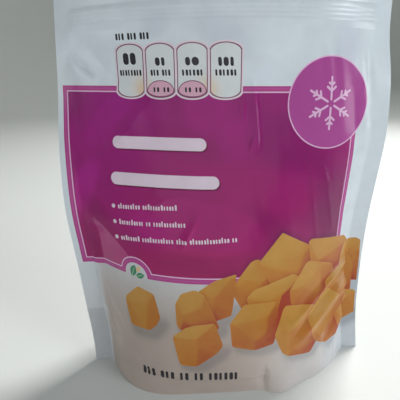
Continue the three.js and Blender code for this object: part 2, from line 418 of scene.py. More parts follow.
def buckle_relief(across, up):
    """A flat flank that falls from a curved upper edge to a valley beside the left seal."""
    edge = buckle_edge(up)
    deep = BUCKLE_DEPTH * smooth_step(*BUCKLE_DEEPENS, BUCKLE_TOP - up) * smooth_step(*BUCKLE_ENDS, up)
    flank = np.clip((edge - across) / (edge - BUCKLE_VALLEY), 0, 1)
    seal_side = np.clip(1 - (BUCKLE_VALLEY - across) / BUCKLE_SEAL_SIDE, 0, 1)
    return -deep * np.where(across > BUCKLE_VALLEY, flank, seal_side)


def lump_relief(across, up, height, seed):
    """The fruit inside, pressing rounded lumps through the film below the fill line."""
    rng = random.Random(seed)
    total = np.zeros(len(across))
    for row in range(LUMP_ROWS):
        for column in LUMP_COLUMNS:
            stray = rng.uniform(-LUMP_STRAY[0], LUMP_STRAY[0])
            centre_across = LUMP_PITCH[0] * (column + 0.5 * (row % 2)) + stray
            centre_up = LUMP_LOWEST + LUMP_PITCH[1] * row + rng.uniform(-LUMP_STRAY[1], LUMP_STRAY[1])
            size = rng.uniform(*LUMP_SIZES)
            reach = rng.uniform(*LUMP_REACHES)
            away2 = (across - centre_across) ** 2 + (up - centre_up) ** 2
            total += height * size * np.exp(-away2 / reach**2)
    inside = smooth_step(*LUMPS_BEGIN, up) * (1 - smooth_step(*LUMPS_END, up))
    return total * (inside * (1 - smooth_step(*LUMPS_SIDES, np.abs(across))))


def ripple_relief(across, up, height, seed):
    """Slack film: long upright ripples beside the fruit and above it, short ones at the side seals,
    and broad unevenness everywhere."""
    leaning = across + RIPPLE_LEAN * (up - RIPPLE_LEVEL)
    long_ones = lattice_noise(leaning, up, cell=(7.5, 46), seed=seed)
    long_ones += FINE_RIPPLE_SHARE * lattice_noise(leaning, up, cell=(3.6, 34), seed=seed + 1)
    body = smooth_step(*RIPPLES_BEGIN, up) * (1 - smooth_step(*RIPPLES_END, up))
    grown = LEFT_RIPPLE_SHARE + (1 - LEFT_RIPPLE_SHARE) * smooth_step(*RIPPLES_GROW, across)
    long_ones *= height * body * grown
    edge = np.exp(-(HALF_PANEL - np.minimum(np.abs(across), HALF_PANEL)) / SHORT_RIPPLE_REACH)
    short_ones = SHORT_RIPPLE_HEIGHT * edge * lattice_noise(across, up, cell=(30, 5.2), seed=seed + 2)
    broad = BROAD_RIPPLE_HEIGHT * lattice_noise(across, up, cell=(34, 30), seed=seed + 3)
    return long_ones + short_ones + broad


def zip_relief(up):
    """The press-to-close zip: a raised band with fine rounded ribs on it."""
    band = smooth_step(ZIP_BOTTOM, ZIP_BOTTOM + ZIP_EDGE, up)
    band *= 1 - smooth_step(ZIP_TOP - ZIP_EDGE, ZIP_TOP, up)
    ribs = sum(np.maximum(0, 1 - ((up - middle) / ZIP_RIB_HALF_WIDTH) ** 2) for middle in ZIP_RIBS_UP)
    return ZIP_BAND_HEIGHT * band + ZIP_RIB_HEIGHT * ribs


def film_relief(wall, across, up, settings):
    """How far a wall stands outside its smooth surface, in millimetres. The side seals and the top
    seal stay where they are."""
    creases, lump_scale, lump_seed, ripple_scale, ripple_seed = WALL_RELIEF[wall]
    free = np.clip((HALF_PANEL - np.abs(across)) / SIDE_EASE, 0, 1)
    free *= 1 - smooth_step(TOP_SEAL - TOP_EASE, TOP_SEAL, up)
    slack = smooth_step(0, HEM_EASE, up)
    total = crease_relief(across, up, creases)
    total += slack * lump_relief(across, up, settings.lump_height * lump_scale, lump_seed)
    total += slack * ripple_relief(across, up, settings.ripple_height * ripple_scale, ripple_seed)
    if wall == "front":
        for middle, low, height, wide, tall in FRONT_BULGES:
            total += height * np.exp(-((across - middle) / wide) ** 2 - ((up - low) / tall) ** 2)
        total += buckle_relief(across, up)
    total += zip_relief(up)
    total -= HEM_SEAL_STEP * (1 - smooth_step(-SEAL_EDGE, SEAL_EDGE, up - hem_seal_top(across)))
    return total * free


# ------------------------------------------------------------------ outlines on the flat film

# A corner's radius stays this share of the most that fits, so that no two points coincide.
ROUND_SHARE = 0.999


def arc(centre, radii, start, end, step=0.7):
    """Points along an elliptic arc, angles in degrees, both ends included."""
    reach = math.radians(abs(end - start)) * max(radii)
    angles = np.radians(np.linspace(start, end, max(3, math.ceil(reach / step)) + 1))
    return np.stack([centre[0] + radii[0] * np.cos(angles), centre[1] + radii[1] * np.sin(angles)], axis=1)


def disc(centre, radius):
    """A round outline."""
    return arc(centre, (radius, radius), 0, 360)[:-1]


def rounded_bar(left, right, low, high, radius=FAR):
    """A bar with round corners; with no radius its ends are half round."""
    r = min(radius, min(right - left, high - low) / 2 * ROUND_SHARE)
    corners = ((right - r, high - r), (left + r, high - r), (left + r, low + r), (right - r, low + r))
    return np.concatenate([arc(corner, (r, r), 90 * i, 90 * i + 90) for i, corner in enumerate(corners)])


def resampled(outline, step, closed=True):
    """The same outline with no stretch longer than step."""
    ends = np.roll(outline, -1, axis=0) if closed else outline[1:]
    points = []
    for a, b in zip(outline, ends):
        count = max(1, math.ceil(np.linalg.norm(b - a) / step))
        points.extend(a + (b - a) * i / count for i in range(count))
    if not closed:
        points.append(outline[-1])
    return np.array(points)


def turned(outline, angle):
    """An outline turned about the flat film's own origin."""
    c, s = math.cos(angle), math.sin(angle)
    return outline @ np.array([[c, s], [-s, c]])


def is_inside(outline, points):
    """Which points an outline holds, by counting the edges to their right."""
    low, high = outline.min(axis=0), outline.max(axis=0)
    near = np.nonzero(np.all((points > low) & (points < high), axis=1))[0]
    x, y = points[near].T
    held = np.zeros(len(near), bool)
    for (x0, y0), (x1, y1) in zip(outline, np.roll(outline, -1, axis=0)):
        if y0 != y1:
            crossed = (y0 > y) != (y1 > y)
            held ^= crossed & (x < (x1 - x0) * (y - y0) / (y1 - y0) + x0)
    result = np.zeros(len(points), bool)
    result[near[held]] = True
    return result


def distance_to(outline, points):
    """How far each point is from the nearest edge of an outline."""
    nearest = np.full(len(points), FAR)
    for a, b in zip(outline, np.roll(outline, -1, axis=0)):
        run = b - a
        t = np.clip(((points - a) @ run) / (run @ run), 0, 1)
        nearest = np.minimum(nearest, np.linalg.norm(points - a - t[:, None] * run, axis=1))
    return nearest


# ------------------------------------------------------------------ the printed fruit

# A chunk is a rough block. Its sides and its cuts tilt by these amounts, and stand out by these
# shares of its size. The whole block is spun, then tipped forwards and sideways by these angles.
SIDE_TILT = 0.28
SIDE_REACHES = (0.40, 0.5)
CUT_COUNT = 4
CUT_TILTS = (0.15, 1)
CUT_REACHES = (0.45, 0.54)
TIPS_FORWARD = (12, 38)
TIPS_SIDEWAYS = (-16, 16)
# Each pass over an outline cuts its corners by this share of an edge, and this many millimetres at most.
CORNER_CUTS = ((0.2, 0.8), (0.27, 0.35))
PRINT_REACH = HALF_WIDTH - 1.2
# Sides with a smaller determinant count as parallel, facets that face the front less aren't drawn, and
# the last is for rounding errors.
PARALLEL = 1e-3
FACING_LEAST = 0.08
SMALL = 1e-6

# How the chunks are lit: where from, how softly facets meet, the light on a facet side-on to it, what
# facing it adds, what lying to the upper left adds, how far a chunk's tone strays, and its unevenness.
FRUIT_LIGHT = Vector((-0.40, 0.72, 0.57)).normalized()
FACET_SOFTNESS = 0.5
BASE_LIGHT = 0.49
FACING_LIGHT = 0.33
UPPER_LEFT_LIGHT = 0.16
TONE_STRAY = 0.05
FRUIT_GRAINS = ((0.04, 0, (3.4, 2.2), 71), (0.06, 0, (10, 8), 72))
# Shade under the chunks that lie before, and the light line along a chunk's own edge, each with its
# strength and how many millimetres it fades over.
CONTACT_SHADES = ((0.10, 1.0), (0.16, 5))
EDGE_LIGHT = (0.05, 0.7)
# The fruit's inks, and how much light gives each.
FRUIT_INKS = {
    "fruit_gap": 0.10, "fruit_deep": 0.36, "fruit_side": 0.58, "fruit_top": 0.80, "fruit_shine": 1.02,
}


class Chunk:
    """A cut chunk of fruit drawn on the film: an irregular block, shaded facet by facet."""

    def __init__(self, across, up, size, seed):
        rng = random.Random(seed)
        self.middle = np.array([across, up], float)
        self.size = size
        self.tone = rng.uniform(-TONE_STRAY, TONE_STRAY)
        # Six sides of a rough block, then slanting cuts that take some of its corners and edges.
        planes = []
        for axis in range(3):
            for sign in (-1, 1):
                normal = Vector([rng.uniform(-SIDE_TILT, SIDE_TILT) for _ in range(3)])
                normal[axis] = sign
                planes.append((normal.normalized(), rng.uniform(*SIDE_REACHES) * size))
        for _ in range(CUT_COUNT):
            normal = Vector([rng.choice((-1, 1)) * rng.uniform(*CUT_TILTS) for _ in range(3)])
            planes.append((normal.normalized(), rng.uniform(*CUT_REACHES) * size))
        # Stood on the film's own ground, spun, and tipped so that its top shows.
        forward = math.radians(rng.uniform(*TIPS_FORWARD))
        tip = Euler((forward, 0, math.radians(rng.uniform(*TIPS_SIDEWAYS)))).to_matrix()
        stand = Euler((-math.pi / 2, 0, 0)).to_matrix()
        spin = Euler((0, 0, math.radians(rng.uniform(0, 360)))).to_matrix()
        self.normals = np.array([tip @ stand @ spin @ normal for normal, _ in planes])
        self.reaches = np.array([reach for _, reach in planes])
        self.outline = self.rounded(self.hull())
        self.outline[:, 0] = np.clip(self.outline[:, 0], -PRINT_REACH, PRINT_REACH)

    def hull(self):
        """The block's corners seen from the front, as a convex outline."""
        corners = set()
        for three in itertools.combinations(range(len(self.reaches)), 3):
            normals = self.normals[list(three)]
            if abs(np.linalg.det(normals)) >= PARALLEL:
                corner = np.linalg.solve(normals, self.reaches[list(three)])
                if np.all(self.normals @ corner <= self.reaches + SMALL):
                    corners.add(tuple(corner[:2]))
        corners = sorted(corners)

        def turns_right(start, middle, end):
            """Whether the way from start to end over middle is straight or turns to the right."""
            return ((middle[0] - start[0]) * (end[1] - start[1])
                    - (middle[1] - start[1]) * (end[0] - start[0])) <= 0

        chain = []
        for run in (corners, corners[::-1]):
            start = len(chain)
            for corner in run:
                while len(chain) - start >= 2 and turns_right(chain[-2], chain[-1], corner):
                    chain.pop()
                chain.append(corner)
            chain.pop()
        return np.array(chain) + self.middle

    @staticmethod
    def rounded(outline):
        """An outline with each corner cut twice, close to it."""
        for share, most in CORNER_CUTS:
            points = []
            rows = zip(np.roll(outline, 1, axis=0), outline, np.roll(outline, -1, axis=0))
            for before, corner, after in rows:
                for other in (before, after):
                    run = other - corner
                    points.append(corner + run * min(share, most / max(np.linalg.norm(run), SMALL)))
            outline = np.array(points)
        return outline

    def shade(self, inks, later, across, up):
        """The chunk's colours at places on it, redder under the chunks that lie before it."""
        x, y = across - self.middle[0], up - self.middle[1]
        facing = self.normals[:, 2] > FACING_LEAST
        normals, reaches = self.normals[facing], self.reaches[facing]
        depth = (reaches - np.outer(x, normals[:, 0]) - np.outer(y, normals[:, 1])) / normals[:, 2]
        weight = np.exp(-(depth - depth.min(axis=1, keepdims=True)) / FACET_SOFTNESS)
        weight /= weight.sum(axis=1, keepdims=True)
        normal = weight @ normals
        lit = BASE_LIGHT + FACING_LIGHT * (normal @ np.array(FRUIT_LIGHT)) / np.linalg.norm(normal, axis=1)
        lit += self.tone + UPPER_LEFT_LIGHT * (y - 0.5 * x) / self.size
        lit += layered_noise(across, up, FRUIT_GRAINS)
        places = np.stack([across, up], axis=1)
        for other in later:
            away = distance_to(other.outline, places)
            lit -= sum(deep * np.exp(-away / reach) for deep, reach in CONTACT_SHADES)
        lit += EDGE_LIGHT[0] * np.exp(-distance_to(self.outline, places) / EDGE_LIGHT[1])
        ramp = np.array([inks[name] for name in FRUIT_INKS])
        stops = list(FRUIT_INKS.values())
        return np.stack([np.interp(lit, stops, ramp[:, i]) for i in range(3)], axis=1)


# Chunks from the back of the heap to the front: across, up, size and seed.
FRONT_CHUNKS = (
    (16, 60, 24, 115), (39, 69, 28, 103), (65, 67, 28, 131), (88, 60, 25, 130),
    (29, 50, 26, 110), (52, 53, 28, 154), (77, 48, 26, 145),
    (-8, 56, 20, 142), (-21, 49, 19, 151), (-52, 46, 18, 106),
    (13, 41, 23, 113), (37, 34, 26, 158), (61, 34, 25, 125), (84, 30, 20, 120),
    (-20, 33, 20, 135),
)
# Deep gaps between the heap's chunks, by how many chunks lie behind them.
HEAP_GAPS = {5: ((29.5, 55), (37, 59), (38, 47), (31, 46), (26, 42), (26.5, 48.5))}
REAR_CHUNKS = (
    (-58, 42, 24, 207), (-38, 45, 22, 203), (-46, 30, 22, 204), (52, 40, 24, 211), (68, 36, 21, 206),
)


# ------------------------------------------------------------------ the print

# Panels are left, right, low and high; places are across and up.
PANEL = (-91.6, 74.7, 64.8, 165.7)
REAR_PANEL = (-78.0, 80.0, 62.0, 165.7)
BAND_WIDTH = 2.6
BAND_LIGHT_WIDTH = 0.5
PALE_LINE_WIDTH = 0.65
NOTCH_MIDDLE = (-52.7, 65.0)
NOTCH_RADIUS = 7.4

BADGE_MIDDLE = (56.9, 157.0)
BADGE_RADIUS = 23.4
# One arm of the star: how long each bar is, where along the arm it starts, and its turn in degrees.
STAR_BARS = ((12.0, 1.6, 0), (3.6, 6.4, 50), (3.6, 6.4, -50), (2.4, 9.2, 50), (2.4, 9.2, -50))
STAR_ARMS = 6
STAR_TURN = 30
STAR_HALF_WIDTH = 0.55

TABLET_LEFT = -54.9
TABLET_WIDTH = 15.55
TABLET_PITCH = 16.65
TABLET_LOW = 159.8
TABLET_HIGH = 186.1
TABLET_CAP = 3.7
TABLET_SLANT = 0.07
# A cap's arc starts this many degrees in from its side, and the side ends at this share of the cap.
CAP_ANGLE = 12
CAP_SHARE = 0.8
# Each tablet's figures, as bars: their widths, height and middle. Then its label, as strokes: how many
# there are in each word, and their pitch.
TABLET_PRINTS = (
    ((3.2, 3.2), 5.8, 178.9, (8,), 1.62),
    ((2.5, 1.7), 4.0, 177.4, (3, 3), 1.62),
    ((2.5, 3.6), 4.0, 177.4, (6,), 1.85),
    ((1.8, 2.5, 1.6), 4.2, 177.2, (6,), 1.85),
)
FIGURE_GAP = 0.8
PRINT_SHIFT = 0.3
LABEL_UP = 172.1
LABEL_HEIGHT = 3.0
# The glow at the tablets' feet: where it is across, its place up, its reaches and its strength.
BLUSHES_ACROSS = (-41.0, -6.5)
BLUSH_UP = 164
BLUSH_REACHES = (4.5, 5.5)
BLUSH_STRENGTH = 0.75
# Insets of a tablet's halo, line and ground, and of a dome's line and ground.
TABLET_INSETS = (-0.75, 0.0, 0.5)
DOME_INSETS = (0.5, 0.95)
# The domes on the middle tablets: the foot of the arch, its rise with no inset, and where the strokes
# on them start, across from the tablet's middle and up.
DOMED_TABLETS = (1, 2)
DOME_UP = 163.2
DOME_RISE = 5.8
DOME_STROKES = (-4.4, 163.9)

TITLE_BARS = ((-60.3, -8.4, 136.6), (-62.6, -2.2, 117.4))
TITLE_HEIGHT = 6.6
TITLE_SHADOW = 0.8
# Each bullet row's place up, and how many strokes there are in each of its words.
BULLETS = ((102.3, (9, 13)), (93.8, (10, 2, 12)), (85.2, (8, 12, 4, 14, 2)))
BULLETS_ACROSS = -62.3
BULLET_RADIUS = 1.15
BULLET_TEXT_GAP = 2.9
# Widths of strokes, as shares of their pitch, and the gap after a word.
STROKE_SHARES = (0.62, 0.72, 0.54, 0.68, 0.5)
WORD_GAP = 0.8
# Leaves in the field's arch: middle, length, turn in degrees, and ink.
LEAVES = (
    ((-54.2, 67.6), 7.6, 66, "leaf"), ((-50.0, 65.6), 6.0, 20, "leaf"), ((-50.6, 69.2), 4.6, 48, "blush"),
)
LEAF_HALF_SHARE = 0.27
LEAF_POWER = 0.85
LEAF_POINTS = 13
LEAF_RIB_HALF_WIDTH = 0.16

# Soft patches of the bare film and of the field: middle, half length, half width, turn in degrees,
# how much lighter and how much more violet they are, and how soft their edge is. The film's patches are
# painted light and shade; the field's are partly tone-on-tone print and partly painted light, shade and
# reflection.
FILM_LIGHT_AND_SHADE_PATCHES = (
    (-58, 184, 40, 17, 0, 0.07, 0.30, 0.8),
    (-86, 176, 9, 4, 70, -0.12, 0.00, 0.8),
    (3, 189, 15, 9, -30, -0.10, 1.00, 0.9),
    (30, 184, 13, 11, 0, 0.07, 0.00, 0.9),
    (21, 171, 8, 6, 0, 0.06, 0.60, 0.9),
    (66, 184, 9, 16, 0, -0.07, 1.00, 0.9),
    (-30, 195, 9, 6, 40, -0.07, 0.80, 0.9),
)
FIELD_PRINT_AND_SHADE_PATCHES = (
    (-66, 136, 50, 30, 60, 0.12, 0.35, 0.6),
    (-86, 160, 16, 10, 60, -0.14, 0.00, 0.5),
    (-62, 150, 30, 8, 46, 0.12, 0.10, 0.35),
    (-81, 111, 20, 8, 62, 0.30, 0.30, 0.5),
    (-8, 154, 15, 12, 80, 0.14, 0.05, 0.4),
    (-22, 138, 34, 9, -14, -0.08, 0.00, 0.5),
    (34, 138, 24, 15, -30, -0.14, 0.20, 0.5),
    (16, 114, 44, 12, -14, 0.05, -0.10, 0.25),
    (8, 140, 15, 11, 60, 0.15, 0.10, 0.5),
    (-16, 94, 38, 15, -6, 0.14, 0.00, 0.14),
    (26, 92, 22, 6, -52, -0.12, 0.10, 0.5),
    (-73, 96, 16, 7, -48, -0.16, 0.00, 0.5),
    (-82.5, 78, 14, 4, -80, -0.14, 0.00, 0.5),
    (-16, 74, 44, 12, 0, 0.04, -0.30, 0.5),
    (64, 98, 34, 15, -80, -0.24, 0.20, 0.6),
    (-46, 93, 22, 11, -10, 0.14, 0.30, 0.7),
    (-12, 75, 30, 6, 0, -0.10, 0.00, 0.6),
)
FIELD_CLOUDS = ((0.05, 0.6, (34, 40), 41), (0.04, -0.8, (15, 21), 42))
# The field turns from red to violet up from this level, over this much film. Full violet changes red,
# green and blue by the first tint. The buckle's flank gets a painted reflection: it is lighter and
# changes them by the second.
VIOLET_LEVEL = 105
VIOLET_REACH = 110
FIELD_VIOLET_TINT = (-0.12, 0, 0.3)
FLANK_PAINTED_SHEEN = 0.32
FLANK_SHEEN_TINT = (0, 2.2, 0.15)

# The film's tint low down, partly the fruit showing through and partly painted shade: between these
# places up it fades out, this share of it is gone on the side seals, and each further share is gone past
# a stretch across, where what is left grows brighter.
FILM_TINT_FADES = (34, 94)
SEAL_TINT_FADES = (HALF_PANEL - 6, HALF_PANEL - 1)
SEAL_TINT_GONE = 0.72
TINT_GONE = ((0.4, 0, 50), (0.3, 50, 75))
TINT_BRIGHTER = (0.24, -15, 25)
FILM_VIOLET_TINT = np.array([-0.01, -0.03, 0.02])
# Painted shade together with the extra film: the side seals below the gusset's top are darker.
DOUBLE_FILM_AND_SHADE_DARKER = 0.17
LIGHTEST = 0.99
# The drawn chunks' soft shadows: how far they fall, their reach, their ceiling in chunk sizes above a
# chunk's middle, and how dark they are.
FILM_SHADOW = ((3.2, -1.9), 3.0, 0.25)
FILM_SHADOW_DEPTH = np.array([0.30, 0.28, 0.25])
FIELD_SHADOW = ((0, 0.4), 2.2, 2)
FIELD_SHADOW_DEPTH = 0.25
SHADOW_CEILING_FADE = 0.4
NEIGHBOUR_REACH = 36


def patch_shares(across, up, patches):
    """How much lighter and how much more violet a list of soft patches, painted light and shade among
    them, makes the film.
    """
    lighter, violet = np.zeros(len(across)), np.zeros(len(across))
    for middle_across, middle_up, half_long, half_short, angle, light, hue, soft in patches:
        x, y = across - middle_across, up - middle_up
        c, s = math.cos(math.radians(angle)), math.sin(math.radians(angle))
        reach = np.hypot((x * c + y * s) / half_long, (y * c - x * s) / half_short)
        share = 1 - smooth_step(1 - soft, 1 + soft / 2, reach)
        lighter += light * share
        violet += hue * share
    return lighter, violet


def flat_colour(ink, across, up):
    """The same ink at every place."""
    return np.repeat(ink[None], len(across), axis=0)


class Printing:
    """Outlines on one wall and how each is coloured, from the film's own colour upwards."""

    def __init__(self, inks, warmth):
        self.inks = inks
        self.warmth = warmth
        self.shapes = []
        self.chunks = []

    def add(self, outline, paint, step=1.2):
        """One shape; paint is the name of an ink, or a function of across and up."""
        if isinstance(paint, str):
            paint = functools.partial(flat_colour, self.inks[paint])
        self.shapes.append((resampled(outline, step), paint))

    def bars(self, left, middle, widths, height, ink, gap=0):
        """A row of bars in place of words or figures."""
        for width in widths:
            self.add(rounded_bar(left, left + width, middle - height / 2, middle + height / 2), ink)
            left += width + gap

    def strokes(self, left, middle, counts, height, pitch, ink, low_share=1.0, slope=0.0):
        """A row of words, each a count of upright strokes of uneven width. Most strokes are as tall
        as low_share says, and some reach the full height."""
        low = middle - height / 2
        for count in counts:
            for i in range(count):
                width = pitch * STROKE_SHARES[(i + 2 * count) % 5]
                tall = height if (i + count) % 5 == 0 else height * low_share
                self.add(rounded_bar(left, left + width, low, low + tall), ink)
                left += pitch
                low += pitch * slope
            left += WORD_GAP * pitch
            low += WORD_GAP * pitch * slope

    def add_chunks(self, rows, gaps):
        """The drawn chunks, each shaded under the ones before it, and the gaps between them."""
        self.chunks = [Chunk(*row) for row in rows]
        for i, chunk in enumerate(self.chunks):
            if i in gaps:
                self.add(np.array(gaps[i], float), "fruit_gap", step=0.8)
            near = [later for later in self.chunks[i + 1:]
                    if np.linalg.norm(later.middle - chunk.middle) < NEIGHBOUR_REACH]
            self.add(chunk.outline, functools.partial(chunk.shade, self.inks, near), step=0.8)

    def film_colour(self, across, up):
        """The bare film: warmer and darker low down, partly the fruit behind it and partly painted shade,
        though less so on the side seals and to the right. Its soft patches are painted light and shade."""
        beside = np.abs(across)
        low = 1 - smooth_step(*FILM_TINT_FADES, up)
        low *= 1 - SEAL_TINT_GONE * smooth_step(*SEAL_TINT_FADES, beside)
        low *= self.warmth
        left = 1
        for gone, start, end in TINT_GONE:
            left = left - gone * smooth_step(start, end, across)
        low *= left
        brighter = 1 + TINT_BRIGHTER[0] * smooth_step(*TINT_BRIGHTER[1:], across)
        # The warm, darker colour low down is painted shade together with the fruit showing through.
        colour = self.inks["film"] * (1 - low)[:, None] + self.inks["film_low"] * (low * brighter)[:, None]
        # Painted shade together with the extra film: darker side seals below the gusset's top.
        double = smooth_step(HALF_PANEL - 1, HALF_PANEL, beside) * (up < GUSSET_SEAL_TOP)
        # Painted light and shade: soft lighter and darker patches of the bare film.
        lighter, violet = patch_shares(across, up, FILM_LIGHT_AND_SHADE_PATCHES)
        colour *= (1 + lighter)[:, None] * (1 + violet[:, None] * FILM_VIOLET_TINT)
        shade = self.chunk_shadow(across, up, *FILM_SHADOW)[:, None]
        darker = (1 - DOUBLE_FILM_AND_SHADE_DARKER * double)[:, None] - FILM_SHADOW_DEPTH * shade
        return np.minimum(colour, LIGHTEST) * darker

    def field_colour(self, across, up):
        """The printed field: violet above, redder below, with broad lighter and darker patches of
        tone-on-tone print and painted light and shade, and a painted reflection on the buckle's flank.
        """
        lighter = layered_noise(across, up, FIELD_CLOUDS)
        violet = (up - VIOLET_LEVEL) / VIOLET_REACH
        # Partly tone-on-tone print, partly painted light, shade and reflection: the field's soft patches.
        patches_lighter, patches_violet = patch_shares(across, up, FIELD_PRINT_AND_SHADE_PATCHES)
        lighter += patches_lighter
        violet += patches_violet
        # Painted reflection: the buckle's flank is lighter and greyer, as if catching a sheen.
        flank = (across > BUCKLE_VALLEY) & (across < buckle_edge(up)) & (up < BUCKLE_TOP)
        lighter += FLANK_PAINTED_SHEEN * flank
        shade = self.chunk_shadow(across, up, *FIELD_SHADOW)
        tint = [1 + more * violet + extra * flank for more, extra in zip(FIELD_VIOLET_TINT, FLANK_SHEEN_TINT)]
        light = (1 + lighter) * (1 - FIELD_SHADOW_DEPTH * shade)
        return self.inks["field"] * np.stack(tint, axis=1) * light[:, None]

    def chunk_shadow(self, across, up, offset, reach, ceiling):
        """How dark the soft shadow of the drawn chunks is at places beside them, from 0 to 1. It ends
        at the ceiling, in chunk sizes above a chunk's middle."""
        places = np.stack([across, up], axis=1)
        shade = np.zeros(len(across))
        for chunk in self.chunks:
            near = np.linalg.norm(places - chunk.middle, axis=1) < chunk.size + 4 * reach
            moved = places[near] - np.array(offset)
            away = distance_to(chunk.outline, moved) * ~is_inside(chunk.outline, moved)
            height = (moved[:, 1] - chunk.middle[1]) / chunk.size
            dark = np.exp(-((away / reach) ** 2))
            dark *= 1 - smooth_step(ceiling - SHADOW_CEILING_FADE, ceiling, height)
            shade[near] = np.maximum(shade[near], dark)
        return shade


def panel_outline(panel, inset, arched):
    """A panel's outline, moved in by inset, with an arch standing on its lower edge if it is arched."""
    left, right, low, high = np.array(panel) + inset * np.array([1, -1, 1, -1])
    points = np.array([(right, low), (right, high), (left, high), (left, low)])
    if not arched:
        return points
    radius = NOTCH_RADIUS + inset
    start = math.degrees(math.asin((low - NOTCH_MIDDLE[1]) / radius))
    return np.concatenate([points, arc(NOTCH_MIDDLE, (radius, radius), 180 - start, start)])


def add_panel(printing, panel, arched=False):
    """The printed field inside its band and pale line."""
    half_light = BAND_LIGHT_WIDTH / 2
    for inset, ink in ((0, "band"), (BAND_WIDTH / 2 - half_light, "band_light"),
                       (BAND_WIDTH / 2 + half_light, "band"), (BAND_WIDTH, "pale_line"),
                       (BAND_WIDTH + PALE_LINE_WIDTH, printing.field_colour)):
        printing.add(panel_outline(panel, inset, arched), ink)


def tablet_outline(left, inset):
    """A tablet, moved in by inset: straight sides between two shallow half-ellipse caps."""
    left, right = left + inset, left + TABLET_WIDTH - inset
    low, high, cap = TABLET_LOW + inset, TABLET_HIGH - inset, TABLET_CAP
    middle, half = (left + right) / 2, (right - left) / 2
    top = arc((middle, high - cap), (half, cap), CAP_ANGLE, 180 - CAP_ANGLE)
    bottom = arc((middle, low + cap), (half, cap), 180 + CAP_ANGLE, 360 - CAP_ANGLE)
    side_low, side_high = low + cap * CAP_SHARE, high - cap * CAP_SHARE
    return np.concatenate([[(right, side_high)], top, [(left, side_high), (left, side_low)], bottom,
                           [(right, side_low)]])


def slanted(outline):
    """The tablets' outlines, which slant a little to the right on the film."""
    moved = outline.copy()
    moved[:, 0] += TABLET_SLANT * (outline[:, 1] - (TABLET_LOW + TABLET_HIGH) / 2)
    return moved


def add_tablets(printing):
    """Four pale tablets that hang over the panel's upper edge, with bars in place of figures."""
    ground, blush = printing.inks["tablet"], printing.inks["blush"]

    def tablet_colour(across, up):
        glow = sum(np.exp(-((across - place) / BLUSH_REACHES[0]) ** 2
                          - ((up - BLUSH_UP) / BLUSH_REACHES[1]) ** 2) for place in BLUSHES_ACROSS)
        share = BLUSH_STRENGTH * np.minimum(1, glow)[:, None]
        return ground * (1 - share) + blush * share

    for i, (widths, height, middle, label, pitch) in enumerate(TABLET_PRINTS):
        left = TABLET_LEFT + i * TABLET_PITCH
        centre = left + TABLET_WIDTH / 2
        for inset, ink in zip(TABLET_INSETS, ("halo", "tablet_line", tablet_colour)):
            printing.add(slanted(tablet_outline(left, inset)), ink)
        if i in DOMED_TABLETS:
            for inset, ink in zip(DOME_INSETS, ("tablet_line", "dome")):
                half = TABLET_WIDTH / 2 - inset
                top = arc((centre, DOME_UP), (half, DOME_RISE - inset), 0, 180)
                foot = (centre, TABLET_LOW + TABLET_CAP)
                bottom = arc(foot, (half, TABLET_CAP - inset), 180 + CAP_ANGLE, 360 - CAP_ANGLE)
                printing.add(slanted(np.concatenate([top, bottom])), ink)
            printing.strokes(centre + DOME_STROKES[0], DOME_STROKES[1], (2, 2), height=2.5, pitch=1.9,
                             ink="dark_ink")
        figures_long = sum(widths) + FIGURE_GAP * (len(widths) - 1)
        start = centre + PRINT_SHIFT - figures_long / 2
        printing.bars(start, middle, widths, height, "dark_ink", FIGURE_GAP)
        label_long = pitch * (sum(label) + WORD_GAP * (len(label) - 1))
        start = centre + PRINT_SHIFT - label_long / 2
        printing.strokes(start, LABEL_UP, label, LABEL_HEIGHT, pitch, "dark_ink")


def add_badge(printing):
    """A plain round badge with a pale rim and a six-armed frost star."""
    printing.add(disc(BADGE_MIDDLE, BADGE_RADIUS), "pale_line")
    printing.add(disc(BADGE_MIDDLE, BADGE_RADIUS - PALE_LINE_WIDTH), "badge")
    for arm in range(STAR_ARMS):
        for reach, start, bend in STAR_BARS:
            bar = rounded_bar(0, reach, -STAR_HALF_WIDTH, STAR_HALF_WIDTH)
            bar = turned(bar, math.radians(bend)) + np.array([start, 0])
            bar = turned(bar, math.radians(360 / STAR_ARMS * arm + STAR_TURN))
            printing.add(bar + np.array(BADGE_MIDDLE), "pale_line")


def add_leaf(printing, middle, length, angle, ink):
    """A small two-arc leaf with a pale midrib."""
    share = np.linspace(0, 1, LEAF_POINTS)
    half = LEAF_HALF_SHARE * length * np.sin(math.pi * share) ** LEAF_POWER
    along = (share - 0.5) * length
    sides = np.concatenate([np.stack([along, -half], axis=1), np.stack([along, half], axis=1)[-2:0:-1]])
    rib = rounded_bar(-0.5 * length, 0.3 * length, -LEAF_RIB_HALF_WIDTH, LEAF_RIB_HALF_WIDTH)
    for shape, own_ink in ((sides, ink), (rib, "leaf_rib")):
        printing.add(turned(shape, math.radians(angle)) + np.array(middle), own_ink, step=0.6)


def front_print(inks):
    """Everything printed on the front wall."""
    printing = Printing(inks, warmth=1.0)
    add_panel(printing, PANEL, arched=True)
    for left, right, middle in TITLE_BARS:
        low, high = middle - TITLE_HEIGHT / 2, middle + TITLE_HEIGHT / 2
        shadow = (left + TITLE_SHADOW, right + TITLE_SHADOW, low - TITLE_SHADOW, high - TITLE_SHADOW)
        printing.add(rounded_bar(*shadow), "field_shadow")
        printing.add(rounded_bar(left, right, low, high), "title")
    for middle, counts in BULLETS:
        printing.add(disc((BULLETS_ACROSS, middle), BULLET_RADIUS), "title")
        printing.strokes(BULLETS_ACROSS + BULLET_TEXT_GAP, middle + PRINT_SHIFT, counts, height=3.0,
                         pitch=1.52, ink="title", low_share=0.74, slope=0.05)
    add_tablets(printing)
    printing.strokes(-53.6, 189.5, (3, 3, 3), height=3.3, pitch=1.85, ink="dark_ink")
    add_badge(printing)
    for leaf in LEAVES:
        add_leaf(printing, *leaf)
    printing.add_chunks(FRONT_CHUNKS, HEAP_GAPS)
    printing.strokes(-51.3, 14.2, (3, 3, 2, 2, 6), height=5.4, pitch=2.85, ink="dark_ink", slope=-0.04)
    return printing


